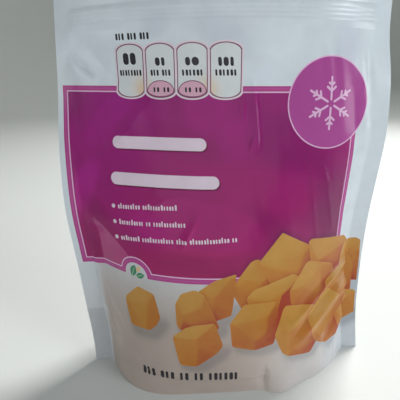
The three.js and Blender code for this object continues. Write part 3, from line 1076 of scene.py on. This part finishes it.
def rear_print(inks):
    """Everything printed on the rear wall: the field, a pale table of rules and a few rows of bars."""
    printing = Printing(inks, warmth=0.35)
    add_panel(printing, REAR_PANEL)
    printing.add(rounded_bar(-66, 2, 74, 154, radius=2), "tablet_line")
    printing.add(rounded_bar(-65.4, 1.4, 74.6, 153.4, radius=1.5), "tablet")
    printing.bars(-61, 147, (34,), 4.2, "dark_ink")
    rng = random.Random(77)
    for row in range(11):
        up = 139.5 - 6 * row
        printing.add(rounded_bar(-62, -2, up - 3.15, up - 2.85), "tablet_line")
        printing.bars(-61, up, (rng.uniform(12, 30),), 1.7, "dark_ink")
        printing.bars(-9, up, (rng.uniform(4, 6),), 1.7, "dark_ink")
    for row, width in enumerate((44, 36, 50)):
        printing.bars(14, 150 - 9 * row, (width,), 5.2, "title")
    for row in range(9):
        widths = [rng.uniform(5, 15) for _ in range(3)]
        printing.bars(14, 118 - 4.6 * row, widths, 1.5, "title", gap=1.6)
    printing.add_chunks(REAR_CHUNKS, {})
    return printing


# ------------------------------------------------------------------ the film's mesh

# Distances on the flat film, in millimetres. The rear wall's steps are longer by the share.
OUTLINE_STEP = 1.5
REAR_STEP_SHARE = 1.3
# The area of the drawn fruit: left, right, low and high.
FINE_AREA = (-70.0, 94.0, 14.0, 88.0)
# Loose points keep clear of lines and of the film's edge, in rows this share of a step apart.
CLEAR_OF_LINES = 0.5
CLEAR_OF_EDGE = 0.7
ROW_SHARE = 0.866
# The lines along the side seals stop this far short of the hem and the top.
LINE_END_GAP = 0.8
HEM_LINE_POINTS = 120
# Lines run beside a crease at these offsets if one of its reaches is narrower than this.
NARROW_CREASE = 3
CREASE_OFFSETS = (-1.2, -0.6, 0, 0.6, 1.2)
# The buckle's lines run between these distances below its top.
BUCKLE_LINES = (35, 0.5)
# Loose points keep this far from a tear notch, across and up, and from a top corner.
NOTCH_CLEAR = (3, 2.5)
CORNER_CLEAR = 2.2
# The rear wall and the underside are moved by these on the flat, clear of the front wall, and this
# many millimetres make one unit there.
REAR_APART = (0, 400.0)
UNDERSIDE_APART = (300.0, 0)
FLAT_UNIT = 100
# Cells of the raster that finds points too close together, and the spare cells round it.
RASTER = 0.25
RASTER_MARGIN = 8
# Points as close as this are taken as one.
TOUCH = 1e-4

# The gusset rests on the floor out to the first place across and hangs free from the second. The
# higher its flatness, the wider its level middle from front to rear, GUSSET_CLEAR metres up.
GUSSET_REST = (44.0, 84.0)
GUSSET_FLATNESS = 5
GUSSET_CLEAR = 0.0002
GUSSET_ROWS = 22
HEM_ROWS = 24
# The hem's inner faces part from its outer ones over about this far from the side seals.
HEM_SIDE_EASE = 0.7
SHARP_ANGLE = math.radians(48)


def film_outline():
    """The film's edge on the flat: hem, right side, top and left side, with a tear notch each side."""
    low, high = TEAR_NOTCH_UP - TEAR_NOTCH_HALF, TEAR_NOTCH_UP + TEAR_NOTCH_HALF
    tip = HALF_WIDTH - TEAR_NOTCH_DEEP
    right = [(HALF_WIDTH, 0), (HALF_WIDTH, low), (tip, TEAR_NOTCH_UP), (HALF_WIDTH, high)]
    corners = [(-HALF_PANEL, 0), (HALF_PANEL, 0), *right]
    for sign, start in ((1, 0), (-1, 90)):
        centre = (sign * (HALF_WIDTH - TOP_CORNER_RADIUS), FILM_HEIGHT - TOP_CORNER_RADIUS)
        corners += arc(centre, (TOP_CORNER_RADIUS, TOP_CORNER_RADIUS), start, start + 90).tolist()
    corners += [(-x, y) for x, y in reversed(right)]
    return resampled(np.array(corners, float), OUTLINE_STEP)


def construction_lines(wall):
    """Open lines that the mesh follows, so that edges of seals, zip and creases stay crisp."""
    inside = HALF_PANEL - 1
    across = np.linspace(-inside, inside, HEM_LINE_POINTS)
    lines = [np.array([(sign * reach, LINE_END_GAP), (sign * reach, FILM_HEIGHT - LINE_END_GAP)])
             for sign in (-1, 1) for reach in (HALF_PANEL, HALF_PANEL - SIDE_EASE)]
    for offset in (-SEAL_EDGE, 0, SEAL_EDGE):
        lines.append(np.stack([across, hem_seal_top(across) + offset], axis=1))
    ups = [ZIP_BOTTOM, ZIP_BOTTOM + ZIP_EDGE, ZIP_TOP - ZIP_EDGE, ZIP_TOP, TOP_SEAL]
    ups += [middle + share * ZIP_RIB_HALF_WIDTH for middle in ZIP_RIBS_UP for share in (-1, 0, 1)]
    lines += [np.array([(-inside, up), (inside, up)]) for up in ups]
    for places, _, reaches, _ in WALL_RELIEF[wall][0]:
        offsets = CREASE_OFFSETS if min(reaches) < NARROW_CREASE else (0,)
        lines += [np.array(places, float) + np.array([offset, 0]) for offset in offsets]
    if wall == "front":
        ups = np.arange(BUCKLE_TOP - BUCKLE_LINES[0], BUCKLE_TOP - BUCKLE_LINES[1], 1.0)
        for offset in CREASE_OFFSETS[1:4]:
            lines.append(np.stack([buckle_edge(ups) + offset, ups], axis=1))
            lines.append(np.stack([np.full(len(ups), BUCKLE_VALLEY + offset), ups], axis=1))
    return [resampled(line, OUTLINE_STEP, closed=False) for line in lines]


def staggered(area, step):
    """Points in offset rows over an area."""
    left, right, low, high = area
    points = []
    for i, up in enumerate(np.arange(low, high, step * ROW_SHARE)):
        places = np.arange(left + step / 2 * (i % 2), right, step)
        points.append(np.stack([places, np.full(len(places), up)], axis=1))
    return np.concatenate(points)


def clear_of(points, fixed, gap):
    """The points that keep a gap from every fixed one, by marking cells of a raster."""
    def cells(places):
        found = ((places + np.array([HALF_WIDTH, 0])) / RASTER).astype(int) + RASTER_MARGIN
        return found[:, 0], found[:, 1]

    size = [int(reach / RASTER) + 3 * RASTER_MARGIN for reach in (FILM_WIDTH, FILM_HEIGHT)]
    taken = np.zeros(size, bool)
    column, row = cells(fixed)
    reach = math.ceil(gap / RASTER)
    for i in range(-reach, reach + 1):
        for j in range(-reach, reach + 1):
            if math.hypot(i, j) * RASTER <= gap:
                taken[column + i, row + j] = True
    return points[~taken[cells(points)]]


def loose_points(step, fine_step):
    """Places for the mesh's own points, closer together in the fine area if there is a fine step."""
    edge = CLEAR_OF_EDGE
    loose = staggered((-HALF_WIDTH + edge, HALF_WIDTH - edge, edge, FILM_HEIGHT - edge), step)
    if fine_step:
        left, right, low, high = FINE_AREA
        across, up = loose.T
        coarse = (across <= left) | (across >= right) | (up <= low) | (up >= high)
        loose = np.concatenate([loose[coarse], staggered(FINE_AREA, fine_step)])
    beside, up = np.abs(loose[:, 0]), loose[:, 1]
    notch = (beside > HALF_WIDTH - NOTCH_CLEAR[0]) & (np.abs(up - TEAR_NOTCH_UP) < NOTCH_CLEAR[1])
    corner = (beside > HALF_WIDTH - CORNER_CLEAR) & (up > FILM_HEIGHT - CORNER_CLEAR)
    return loose[~notch & ~corner]


def triangulate(outline, lines, shapes, step, fine_step):
    """Triangles over the flat film whose edges follow every line and shape: points, triangles, and
    the triangulation's own point for each point of the film's outline."""
    points, edges, count = [], [], 0
    closed_rows = [(shape, True) for shape in (outline, *shapes)]
    for row, closed in closed_rows + [(line, False) for line in lines]:
        points.append(row)
        last = len(row) if closed else len(row) - 1
        edges += [(count + i, count + (i + 1) % len(row)) for i in range(last)]
        count += len(row)
    fixed = np.concatenate(points)
    every = np.concatenate([fixed, clear_of(loose_points(step, fine_step), fixed, CLEAR_OF_LINES)])
    found, _, faces, origins, _, _ = delaunay_2d_cdt([Vector(p) for p in every], edges, [], 1, TOUCH, True)
    rim = {old: new for new, olds in enumerate(origins) for old in olds if old < len(outline)}
    flat, faces = np.array([tuple(p) for p in found]), np.array(faces, int)
    faces = faces[is_inside(outline, flat[faces].mean(axis=1))]
    return flat, faces, [rim[i] for i in range(len(outline))]


def painted(flat, faces, printing):
    """Each triangle corner's colour: the topmost shape over a triangle colours it."""
    centres = flat[faces].mean(axis=1)
    owner = np.full(len(faces), -1)
    for i, (outline, _) in enumerate(printing.shapes):
        owner[is_inside(outline, centres)] = i
    colours = np.ones((len(faces), 3, 4))
    for i in np.unique(owner):
        own = owner == i
        across, up = flat[faces[own]].reshape(-1, 2).T
        paint = printing.film_colour if i < 0 else printing.shapes[i][1]
        colours[own, :, :3] = paint(across, up).reshape(-1, 3, 3)
    return colours


class Wall:
    """One wall's mesh: its flat places, triangles, outline points, points in metres and colours."""

    def __init__(self, wall, printing, step, fine_step, outline, shape, settings):
        outlines = [drawn for drawn, _ in printing.shapes]
        self.flat, self.faces, self.rim = triangulate(
            outline, construction_lines(wall), outlines, step, fine_step)
        across, up = self.flat.T
        out = film_relief(wall, across, up, settings) + settings.film_half_thickness / MM
        self.points = shape.place(wall, across, up, out)
        self.colours = painted(self.flat, self.faces, printing)


def underside(shape, settings, hem_places, front_rim, rear_rim, first_new):
    """The hem's inner faces and the gusset between them, as columns from front to rear.

    hem_places are the hem's places across, front_rim and rear_rim the walls' own points there, and
    first_new the number of the first new point. Returns the new points, the quads between the
    columns, and the columns."""
    thickness = 2 * settings.film_half_thickness / MM
    points, columns = [], []
    share = np.linspace(0, 1, GUSSET_ROWS + 1)[1:-1, None]
    rest = 1 - np.abs(2 * share[:, 0] - 1) ** GUSSET_FLATNESS
    for across, front_point, rear_point in zip(hem_places, front_rim, rear_rim):
        inset = thickness * (1 - math.exp(-(HALF_PANEL - abs(across)) / HEM_SIDE_EASE))
        ups = np.linspace(0, float(hem_seal_top(across)), HEM_ROWS + 1)
        place = np.full(len(ups), across)
        inner = {}
        for wall in ("front", "rear"):
            out = film_relief(wall, place, ups, settings) + thickness / 2 - inset
            inner[wall] = shape.place(wall, place, ups, out)
        gusset = inner["front"][-1] * (1 - share) + inner["rear"][-1] * share
        sag = rest * (1 - smooth_step(*GUSSET_REST, abs(across)))
        gusset[:, 2] = gusset[:, 2] * (1 - sag) + GUSSET_CLEAR * sag
        new = np.concatenate([inner["front"], gusset, inner["rear"][::-1]])
        first = first_new + len(points)
        columns.append([front_point, *range(first, first + len(new)), rear_point])
        points.extend(new)
    faces = [(a[k], a[k + 1], b[k + 1], b[k])
             for a, b in zip(columns, columns[1:]) for k in range(len(a) - 1)]
    return np.array(points), faces, columns


def build_film(settings, inks):
    """The whole film as one closed mesh, with its colours and flat coordinates."""
    shape = FilmShape()
    outline = film_outline()
    step = settings.mesh_step
    front = Wall("front", front_print(inks), step / MM, settings.fine_step / MM, outline, shape, settings)
    rear = Wall("rear", rear_print(inks), step * REAR_STEP_SHARE / MM, None, outline, shape, settings)
    first_rear = len(front.points)
    rear_rim = [first_rear + i for i in rear.rim]
    hem = [i for i, (across, up) in enumerate(outline) if up == 0 and abs(across) <= HALF_PANEL + SMALL]
    hem.sort(key=lambda i: outline[i][0])
    under, under_faces, columns = underside(
        shape, settings, [outline[i][0] for i in hem], [front.rim[i] for i in hem],
        [rear_rim[i] for i in hem], first_rear + len(rear.points))
    strips = []
    for i in range(len(outline)):
        j = (i + 1) % len(outline)
        if i not in hem or j not in hem:
            strips.append((front.rim[i], front.rim[j], rear_rim[j], rear_rim[i]))
    caps = [tuple(columns[0]), tuple(reversed(columns[-1]))]
    triangles = front.faces.tolist() + (rear.faces + first_rear).tolist()
    mesh = bpy.data.meshes.new("pouch_film")
    points = np.concatenate([front.points, rear.points, under])
    mesh.from_pydata(points.tolist(), [], triangles + strips + under_faces + caps)

    flat = np.concatenate([front.flat, rear.flat + np.array(REAR_APART),
                           under[:, :2] / MM + np.array(UNDERSIDE_APART)])
    loops = np.zeros(len(mesh.loops), int)
    mesh.loops.foreach_get("vertex_index", loops)
    uv = mesh.uv_layers.new(name="film")
    uv.data.foreach_set("uv", (flat[loops] / FLAT_UNIT).astype(np.float32).ravel())
    ink = mesh.color_attributes.new("ink", "FLOAT_COLOR", "CORNER")
    colours = np.ones((len(loops), 4))
    colours[:, :3] = inks["film"]
    colours[:3 * len(triangles)] = np.concatenate([front.colours, rear.colours]).reshape(-1, 4)
    ink.data.foreach_set("color", colours.astype(np.float32).ravel())
    mesh.shade_smooth()
    mesh.set_sharp_from_angle(angle=SHARP_ANGLE)
    return mesh


def outward_normals(mesh):
    """Turns every face of a closed mesh outwards, and raises an error if the mesh is open."""
    work = bmesh.new()
    work.from_mesh(mesh)
    bmesh.ops.recalc_face_normals(work, faces=work.faces)
    if work.calc_volume(signed=True) < 0:
        bmesh.ops.reverse_faces(work, faces=work.faces)
    loose = [e for e in work.edges if not e.is_manifold]
    work.to_mesh(mesh)
    work.free()
    if loose:
        raise RuntimeError(f"{mesh.name} is open: {len(loose)} edges with one face or more than two")


# ------------------------------------------------------------------ finishes

class Finish:
    """A node material being made, and its Principled shader's inputs."""

    def __init__(self, name):
        self.material = bpy.data.materials.new(name)
        self.material.use_nodes = True
        self.shader = self.material.node_tree.nodes["Principled BSDF"].inputs

    def feed(self, socket, value):
        """Gives an input a plain value, or another node's output."""
        if isinstance(value, NodeSocket):
            self.material.node_tree.links.new(value, socket)
        else:
            socket.default_value = value

    def node(self, kind, **values):
        """Adds a node with these settings and inputs."""
        made = self.material.node_tree.nodes.new(kind)
        for key, value in values.items():
            if hasattr(made, key):
                setattr(made, key, value)
            else:
                self.feed(made.inputs[key.replace("_", " ")], value)
        return made

    def noise(self, place, scale, detail):
        """The strength of a noise over a place."""
        return self.node("ShaderNodeTexNoise", Vector=place, Scale=scale, Detail=detail).outputs["Fac"]

    def spread(self, value, low, high, **ends):
        """A value moved to between low and high."""
        moved = self.node("ShaderNodeMapRange", Value=value, To_Min=low, To_Max=high, **ends)
        return moved.outputs["Result"]

    def two_tone(self, value, dark, light):
        """A colour between two by a value."""
        ramp = self.node("ShaderNodeValToRGB", Fac=value)
        ramp.color_ramp.elements[0].color = (*dark, 1)
        ramp.color_ramp.elements[1].color = (*light, 1)
        return ramp.outputs["Color"]

    def bump(self, height, strength, distance, **under):
        """A normal with fine relief."""
        made = self.node("ShaderNodeBump", Height=height, Strength=strength, Distance=distance, **under)
        return made.outputs["Normal"]


def film_material(finish):
    """Glossy printed laminate: faint mottling, uneven gloss, and fine film texture."""
    made = Finish("printed_laminate")
    place = made.node("ShaderNodeUVMap", uv_map="film").outputs["UV"]
    ink = made.node("ShaderNodeAttribute", attribute_name="ink").outputs["Color"]
    middle_of_noise = {"From_Min": 0.3, "From_Max": 0.7}
    mottle = made.spread(made.noise(place, scale=9.0, detail=4.0), low=0.965, high=1.03, **middle_of_noise)
    tint = made.node("ShaderNodeVectorMath", operation="SCALE", Vector=ink, Scale=mottle)
    haze = made.spread(made.noise(place, scale=4.0, detail=3.0), low=finish.roughness - 0.05,
                       high=finish.roughness + 0.07, **middle_of_noise)
    fine = made.bump(made.noise(place, scale=160.0, detail=2.0), strength=0.22, distance=0.00003)
    wrinkled = made.bump(made.noise(place, scale=7.0, detail=2.5), strength=0.5, distance=0.0004,
                         Normal=fine)
    for name, value in (("Base Color", tint.outputs["Vector"]), ("Roughness", haze), ("Normal", wrinkled),
                        ("Specular IOR Level", finish.specular)):
        made.feed(made.shader[name], value)
    return made.material


def crimp_material(finish, white):
    """The bare white laminate of the pressed top seal."""
    made = Finish("pressed_laminate")
    place = made.node("ShaderNodeTexCoord").outputs["Object"]
    mottle = made.noise(place, scale=140.0, detail=3.0)
    gloss = made.spread(mottle, low=finish.roughness - 0.04, high=finish.roughness + 0.08)
    made.feed(made.shader["Base Color"], made.two_tone(mottle, white * 0.95, white))
    made.feed(made.shader["Roughness"], gloss)
    made.feed(made.shader["Normal"], made.bump(mottle, strength=0.3, distance=0.00004))
    return made.material


def sweep_material(floor):
    """A pale matt sweep with a barely visible grain."""
    made = Finish("stage_sweep")
    place = made.node("ShaderNodeTexCoord").outputs["Object"]
    pale = np.array(floor)
    grain = made.noise(place, scale=6.0, detail=4.0)
    made.feed(made.shader["Base Color"], made.two_tone(grain, pale * 0.97, pale))
    made.feed(made.shader["Roughness"], 0.6)
    return made.material


# ------------------------------------------------------------------ ribs along paths

def rib_tree(material):
    """Geometry Nodes: a thin round rib along every edge path of the mesh it is given. Returns the tree
    and the names of its radius and sides inputs."""
    tree = bpy.data.node_groups.new("seal_ribs", "GeometryNodeTree")
    face = tree.interface
    face.new_socket("Geometry", in_out="INPUT", socket_type="NodeSocketGeometry")
    radius = face.new_socket("Rib radius", in_out="INPUT", socket_type="NodeSocketFloat")
    sides = face.new_socket("Rib sides", in_out="INPUT", socket_type="NodeSocketInt")
    face.new_socket("Geometry", in_out="OUTPUT", socket_type="NodeSocketGeometry")
    start = tree.nodes.new("NodeGroupInput")
    paths = tree.nodes.new("GeometryNodeMeshToCurve")
    circle = tree.nodes.new("GeometryNodeCurvePrimitiveCircle")
    sweep = tree.nodes.new("GeometryNodeCurveToMesh")
    smooth = tree.nodes.new("GeometryNodeSetShadeSmooth")
    real = tree.nodes.new("GeometryNodeRealizeInstances")
    coated = tree.nodes.new("GeometryNodeSetMaterial")
    end = tree.nodes.new("NodeGroupOutput")
    coated.inputs["Material"].default_value = material
    sweep.inputs["Fill Caps"].default_value = True
    for source, output, target, entry in (
            (start, "Geometry", paths, "Mesh"), (start, "Rib radius", circle, "Radius"),
            (start, "Rib sides", circle, "Resolution"), (paths, "Curve", sweep, "Curve"),
            (circle, "Curve", sweep, "Profile Curve"), (sweep, "Mesh", smooth, "Geometry"),
            (smooth, "Geometry", real, "Geometry"), (real, "Geometry", coated, "Geometry"),
            (coated, "Geometry", end, "Geometry")):
        tree.links.new(source.outputs[output], target.inputs[entry])
    return tree, radius.identifier, sides.identifier


def ribbed(name, paths, radius, sides, material):
    """An object of ribs along the paths, as a plain mesh."""
    points, edges = [], []
    for path in paths:
        first = len(points)
        points.extend(path.tolist())
        edges += [(first + i, first + i + 1) for i in range(len(path) - 1)]
    lines = bpy.data.meshes.new(name + "_paths")
    lines.from_pydata(points, edges, [])
    piece = bpy.data.objects.new(name, lines)
    bpy.context.scene.collection.objects.link(piece)
    tree, radius_socket, sides_socket = rib_tree(material)
    modifier = piece.modifiers.new("ribs", "NODES")
    modifier.node_group = tree
    modifier[radius_socket] = radius
    modifier[sides_socket] = sides
    ready = piece.evaluated_get(bpy.context.evaluated_depsgraph_get())
    mesh = bpy.data.meshes.new_from_object(ready)
    piece.modifiers.remove(modifier)
    piece.data = mesh
    mesh.name = name
    return piece


# ------------------------------------------------------------------ settings

def metres(name, description, default):
    """A length setting, in metres."""
    return FloatProperty(name=name, description=description, default=default, unit="LENGTH")


def rgb(name, description, default):
    """A colour setting, in linear light."""
    return FloatVectorProperty(name=name, description=description, default=default, subtype="COLOR",
                               size=3, min=0, max=1)


def fraction(name, description, default):
    """A setting from 0 to 1."""
    return FloatProperty(name=name, description=description, default=default, min=0, max=1,
                         subtype="FACTOR")


def wattage(name, description, default):
    """A light's power, in watts."""
    return FloatProperty(name=name, description=description, default=default, min=0, unit="POWER")


def degrees(name, description, default):
    """An angle setting, in degrees."""
    return FloatProperty(name=name, description=description, default=math.radians(default),
                         subtype="ANGLE", unit="ROTATION")


class PouchFilmSettings(PropertyGroup):
    """Shape of the film."""
    film_half_thickness: metres("Half thickness", "Half the thickness of two sealed layers", 0.00025)
    mesh_step: metres("Mesh step", "Distance between mesh points on the walls", 0.0015)
    fine_step: metres("Fine step", "Distance between mesh points under the drawn fruit", 0.0009)
    lump_height: metres("Lump height", "How far the fruit presses through the film", 0.0006)
    ripple_height: metres("Ripple height", "Height of the upright ripples in slack film", 0.0004)


class PouchInkSettings(PropertyGroup):
    """Colours of the print."""
    film: rgb("Film", "Bare white film", (0.76, 0.835, 0.915))
    # Painted shade together with the fruit showing through: the film's colour low down.
    film_low: rgb("Film low", "Film with the fruit behind it", (0.52, 0.435, 0.395))
    field: rgb("Field", "Printed field", (0.36, 0.0135, 0.168))
    field_shadow: rgb("Field shadow", "Soft shadow under the title bars", (0.19, 0.006, 0.08))
    band: rgb("Band", "Band round the field", (0.50, 0.065, 0.30))
    band_light: rgb("Band light", "Lighter line along the band's middle", (0.55, 0.10, 0.36))
    pale_line: rgb("Pale line", "Line inside the band and round the badge", (0.86, 0.55, 0.82))
    badge: rgb("Badge", "Round badge", (0.48, 0.085, 0.36))
    title: rgb("Title", "Title bars, bullets and rows", (0.86, 0.72, 0.86))
    tablet: rgb("Tablet", "Tablet ground", (0.78, 0.82, 0.86))
    tablet_line: rgb("Tablet line", "Line round each tablet", (0.24, 0.07, 0.16))
    halo: rgb("Halo", "Pale edge outside a tablet's line", (0.86, 0.74, 0.84))
    blush: rgb("Blush", "Warm glow at the tablets' feet, and a leaf", (0.86, 0.60, 0.36))
    dome: rgb("Dome", "Tinted foot of the middle tablets", (0.78, 0.45, 0.60))
    dark_ink: rgb("Dark ink", "Small dark bars and strokes", (0.035, 0.032, 0.04))
    leaf: rgb("Leaf", "Small leaves", (0.05, 0.28, 0.16))
    leaf_rib: rgb("Leaf rib", "Leaves' midribs", (0.55, 0.68, 0.42))
    fruit_gap: rgb("Fruit gap", "Fruit in the gaps of the heap", (0.423, 0.059, 0.028))
    fruit_deep: rgb("Fruit deep", "Fruit in shade", (0.521, 0.166, 0.031))
    fruit_side: rgb("Fruit side", "Fruit facing sideways", (0.567, 0.224, 0.037))
    fruit_top: rgb("Fruit top", "Fruit facing the light", (0.595, 0.285, 0.054))
    fruit_shine: rgb("Fruit shine", "Brightest fruit", (0.632, 0.34, 0.081))


class PouchFinishSettings(PropertyGroup):
    """Gloss of the film."""
    roughness: fraction("Roughness", "Mean roughness of the film", 0.19)
    specular: fraction("Specular", "Strength of the film's reflections", 0.38)


class PouchSealSettings(PropertyGroup):
    """Pressed ribs of the top seal."""
    rib_count: IntProperty(name="Ribs", description="Ribs on each face of the top seal", default=8, min=1)
    rib_pitch: metres("Rib pitch", "Distance between ribs", 0.0011)
    rib_radius: metres("Rib radius", "Radius of a rib", 0.0002)
    rib_sides: IntProperty(name="Rib sides", description="Sides of a rib's section", default=6, min=3)


class PouchStageSettings(PropertyGroup):
    """Floor, light and camera."""
    floor: rgb("Floor", "Colour of the sweep", (0.77, 0.79, 0.77))
    world: rgb("World", "Colour of the surrounding light", (0.80, 0.86, 0.92))
    world_strength: FloatProperty(name="World strength", description="Strength of the surrounding light",
                                  default=0.07, min=0)
    key_power: wattage("Key power", "Power of the high rear light", 19.3)
    side_power: wattage("Side power", "Power of the soft light on the right", 5.6)
    front_power: wattage("Front power", "Power of the weak front light", 3.6)
    left_power: wattage("Left power", "Power of the weak soft light on the left", 0.55)
    glint_power: wattage("Glint power", "Power of the small low light on the right", 0.95)
    camera_place: FloatVectorProperty(name="Camera place", description="Where the camera stands",
                                      default=(-0.0228, -0.1706, 0.1662), subtype="TRANSLATION",
                                      unit="LENGTH")
    camera_pitch: degrees("Camera pitch", "How far the camera looks down", 21)
    camera_heading: degrees("Camera heading", "How far the camera looks towards +X", 3.5)
    lens: FloatProperty(name="Lens", description="Focal length in millimetres", default=28.26, min=1)


def ink_table(settings):
    """The ink colours by name, as arrays."""
    return {name: np.array(getattr(settings, name)) for name in PouchInkSettings.__annotations__}


def ride_film(piece):
    """What every piece of the pouch says to the frame."""
    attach(piece, BODY)
    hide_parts(NODE)


# ------------------------------------------------------------------ operators

# The ribs of the top seal: the lowest one's height over the seal's foot, the gap to the film's edge
# at each end, the points along each, and how deep they sit in the film, in millimetres.
RIB_START = 1.6
RIB_END_GAP = 2.5
RIB_POINTS = 110
RIB_SUNK = 0.02

# Soft square lights that face the pouch: name, side, place and tint.
LIGHTS = (
    ("key", 0.5, (0.65, 0.655, 1.1), (1.0, 0.995, 0.98)),
    ("side", 0.5, (1.15, -0.6, 0.95), (0.90, 0.96, 1.0)),
    ("front", 1.6, (-0.15, -1.25, 0.65), (1.0, 0.98, 0.95)),
    ("left", 0.3, (-0.90, -0.32, 0.66), (0.92, 0.97, 1.0)),
    ("glint", 0.3, (1.0, -0.36, 0.26), (1.0, 1.0, 1.0)),
)
LIGHTS_FACE = Vector((0, 0, 0.1))
# The sweep: the reach of its flat part, the radius of its curve, its height, the rings over each part
# and its sides round.
SWEEP_FLAT = 1.5
SWEEP_RADIUS = 0.9
SWEEP_HEIGHT = 3.6
SWEEP_FLAT_RINGS = 4
SWEEP_CURVE_RINGS = 14
SWEEP_SIDES = 72


class POUCH_OT_film(Operator):
    """Build the printed film: both walls, hem and gusset as one closed skin"""
    bl_idname = "pouch.film"
    bl_label = "Film"

    def execute(self, context):
        scene = context.scene
        mesh = build_film(scene.pouch_film, ink_table(scene.pouch_inks))
        outward_normals(mesh)
        mesh.materials.append(film_material(scene.pouch_finish))
        piece = bpy.data.objects.new("pouch_film", mesh)
        scene.collection.objects.link(piece)
        ride_film(piece)
        return {"FINISHED"}


class POUCH_OT_seal(Operator):
    """Build the pressed ribs along both faces of the top seal"""
    bl_idname = "pouch.seal"
    bl_label = "Top seal ribs"

    def execute(self, context):
        scene = context.scene
        seal = scene.pouch_seal
        shape = FilmShape()
        reach = HALF_WIDTH - RIB_END_GAP
        across = np.linspace(-reach, reach, RIB_POINTS)
        out = scene.pouch_film.film_half_thickness / MM - RIB_SUNK
        paths = []
        for wall in ("front", "rear"):
            for rib in range(seal.rib_count):
                up = np.full(len(across), TOP_SEAL + RIB_START + rib * seal.rib_pitch / MM)
                paths.append(shape.place(wall, across, up, out))
        white = ink_table(scene.pouch_inks)["film"]
        piece = ribbed("top_seal_ribs", paths, seal.rib_radius, seal.rib_sides,
                       crimp_material(scene.pouch_finish, white))
        ride_film(piece)
        return {"FINISHED"}


class POUCH_OT_stage(Operator):
    """Set the pale sweep, the soft lights and the camera"""
    bl_idname = "pouch.stage"
    bl_label = "Stage"

    def execute(self, context):
        scene = context.scene
        stage = scene.pouch_stage
        self.add_sweep(scene, stage)
        for name, size, place, tint in LIGHTS:
            self.add_light(scene, name, getattr(stage, name + "_power"), size, place, tint)
        world = bpy.data.worlds.new("studio")
        world.use_nodes = True
        background = world.node_tree.nodes["Background"]
        background.inputs["Color"].default_value = (*stage.world, 1)
        background.inputs["Strength"].default_value = stage.world_strength
        scene.world = world
        scene.view_settings.view_transform = "Standard"
        lens = bpy.data.cameras.new("camera")
        lens.lens = stage.lens
        lens.clip_start = 0.01
        camera = bpy.data.objects.new("camera", lens)
        camera.location = stage.camera_place
        camera.rotation_euler = (math.pi / 2 - stage.camera_pitch, 0, -stage.camera_heading)
        scene.collection.objects.link(camera)
        scene.camera = camera
        return {"FINISHED"}

    @staticmethod
    def add_sweep(scene, stage):
        """A round floor that curves up all round into a wall."""
        profile = [(SWEEP_FLAT * i / SWEEP_FLAT_RINGS, 0.0) for i in range(1, SWEEP_FLAT_RINGS + 1)]
        for i in range(1, SWEEP_CURVE_RINGS + 1):
            angle = math.pi / 2 * i / SWEEP_CURVE_RINGS
            profile.append((SWEEP_FLAT + SWEEP_RADIUS * math.sin(angle),
                            SWEEP_RADIUS - SWEEP_RADIUS * math.cos(angle)))
        profile.append((SWEEP_FLAT + SWEEP_RADIUS, SWEEP_HEIGHT))
        sides = range(SWEEP_SIDES)
        angles = [2 * math.pi * k / SWEEP_SIDES for k in sides]
        points = [(0.0, 0.0, 0.0)]
        for reach, z in profile:
            points += [(reach * math.cos(angle), reach * math.sin(angle), z) for angle in angles]
        after = [(k + 1) % SWEEP_SIDES for k in sides]
        faces = [(0, 1 + k, 1 + after[k]) for k in sides]
        for ring in range(len(profile) - 1):
            inner = 1 + ring * SWEEP_SIDES
            outer = inner + SWEEP_SIDES
            faces += [(inner + k, outer + k, outer + after[k], inner + after[k]) for k in sides]
        mesh = bpy.data.meshes.new("sweep")
        mesh.from_pydata(points, [], faces)
        mesh.shade_smooth()
        mesh.materials.append(sweep_material(stage.floor))
        sweep = bpy.data.objects.new("sweep", mesh)
        scene.collection.objects.link(sweep)

    @staticmethod
    def add_light(scene, name, watts, size, place, tint):
        """A soft square light that faces the pouch."""
        light = bpy.data.lights.new(name, "AREA")
        light.energy = watts
        light.size = size
        light.color = tint
        lamp = bpy.data.objects.new(name, light)
        lamp.location = place
        lamp.visible_camera = False
        lamp.rotation_euler = (LIGHTS_FACE - Vector(place)).to_track_quat("-Z", "Y").to_euler()
        scene.collection.objects.link(lamp)


class POUCH_PT_panel(Panel):
    """Sidebar panel with the pouch's steps"""
    bl_idname = "POUCH_PT_panel"
    bl_label = "Stand-up pouch"
    bl_space_type = "VIEW_3D"
    bl_region_type = "UI"
    bl_category = "Pouch"

    def draw(self, context):
        for step in STEPS:
            self.layout.operator(step.bl_idname)


SETTINGS = {
    "pouch_film": PouchFilmSettings,
    "pouch_inks": PouchInkSettings,
    "pouch_finish": PouchFinishSettings,
    "pouch_seal": PouchSealSettings,
    "pouch_stage": PouchStageSettings,
}
STEPS = (POUCH_OT_film, POUCH_OT_seal, POUCH_OT_stage)
CLASSES = (*SETTINGS.values(), *STEPS, POUCH_PT_panel)


def register():
    for item in CLASSES:
        bpy.utils.register_class(item)
    for name, group in SETTINGS.items():
        setattr(bpy.types.Scene, name, PointerProperty(type=group))


def unregister():
    for name in SETTINGS:
        delattr(bpy.types.Scene, name)
    for item in reversed(CLASSES):
        bpy.utils.unregister_class(item)


def main():
    register()
    bpy.ops.pouch.film()
    bpy.ops.pouch.seal()
    bpy.ops.pouch.stage()


if __name__ == "__main__":
    main()
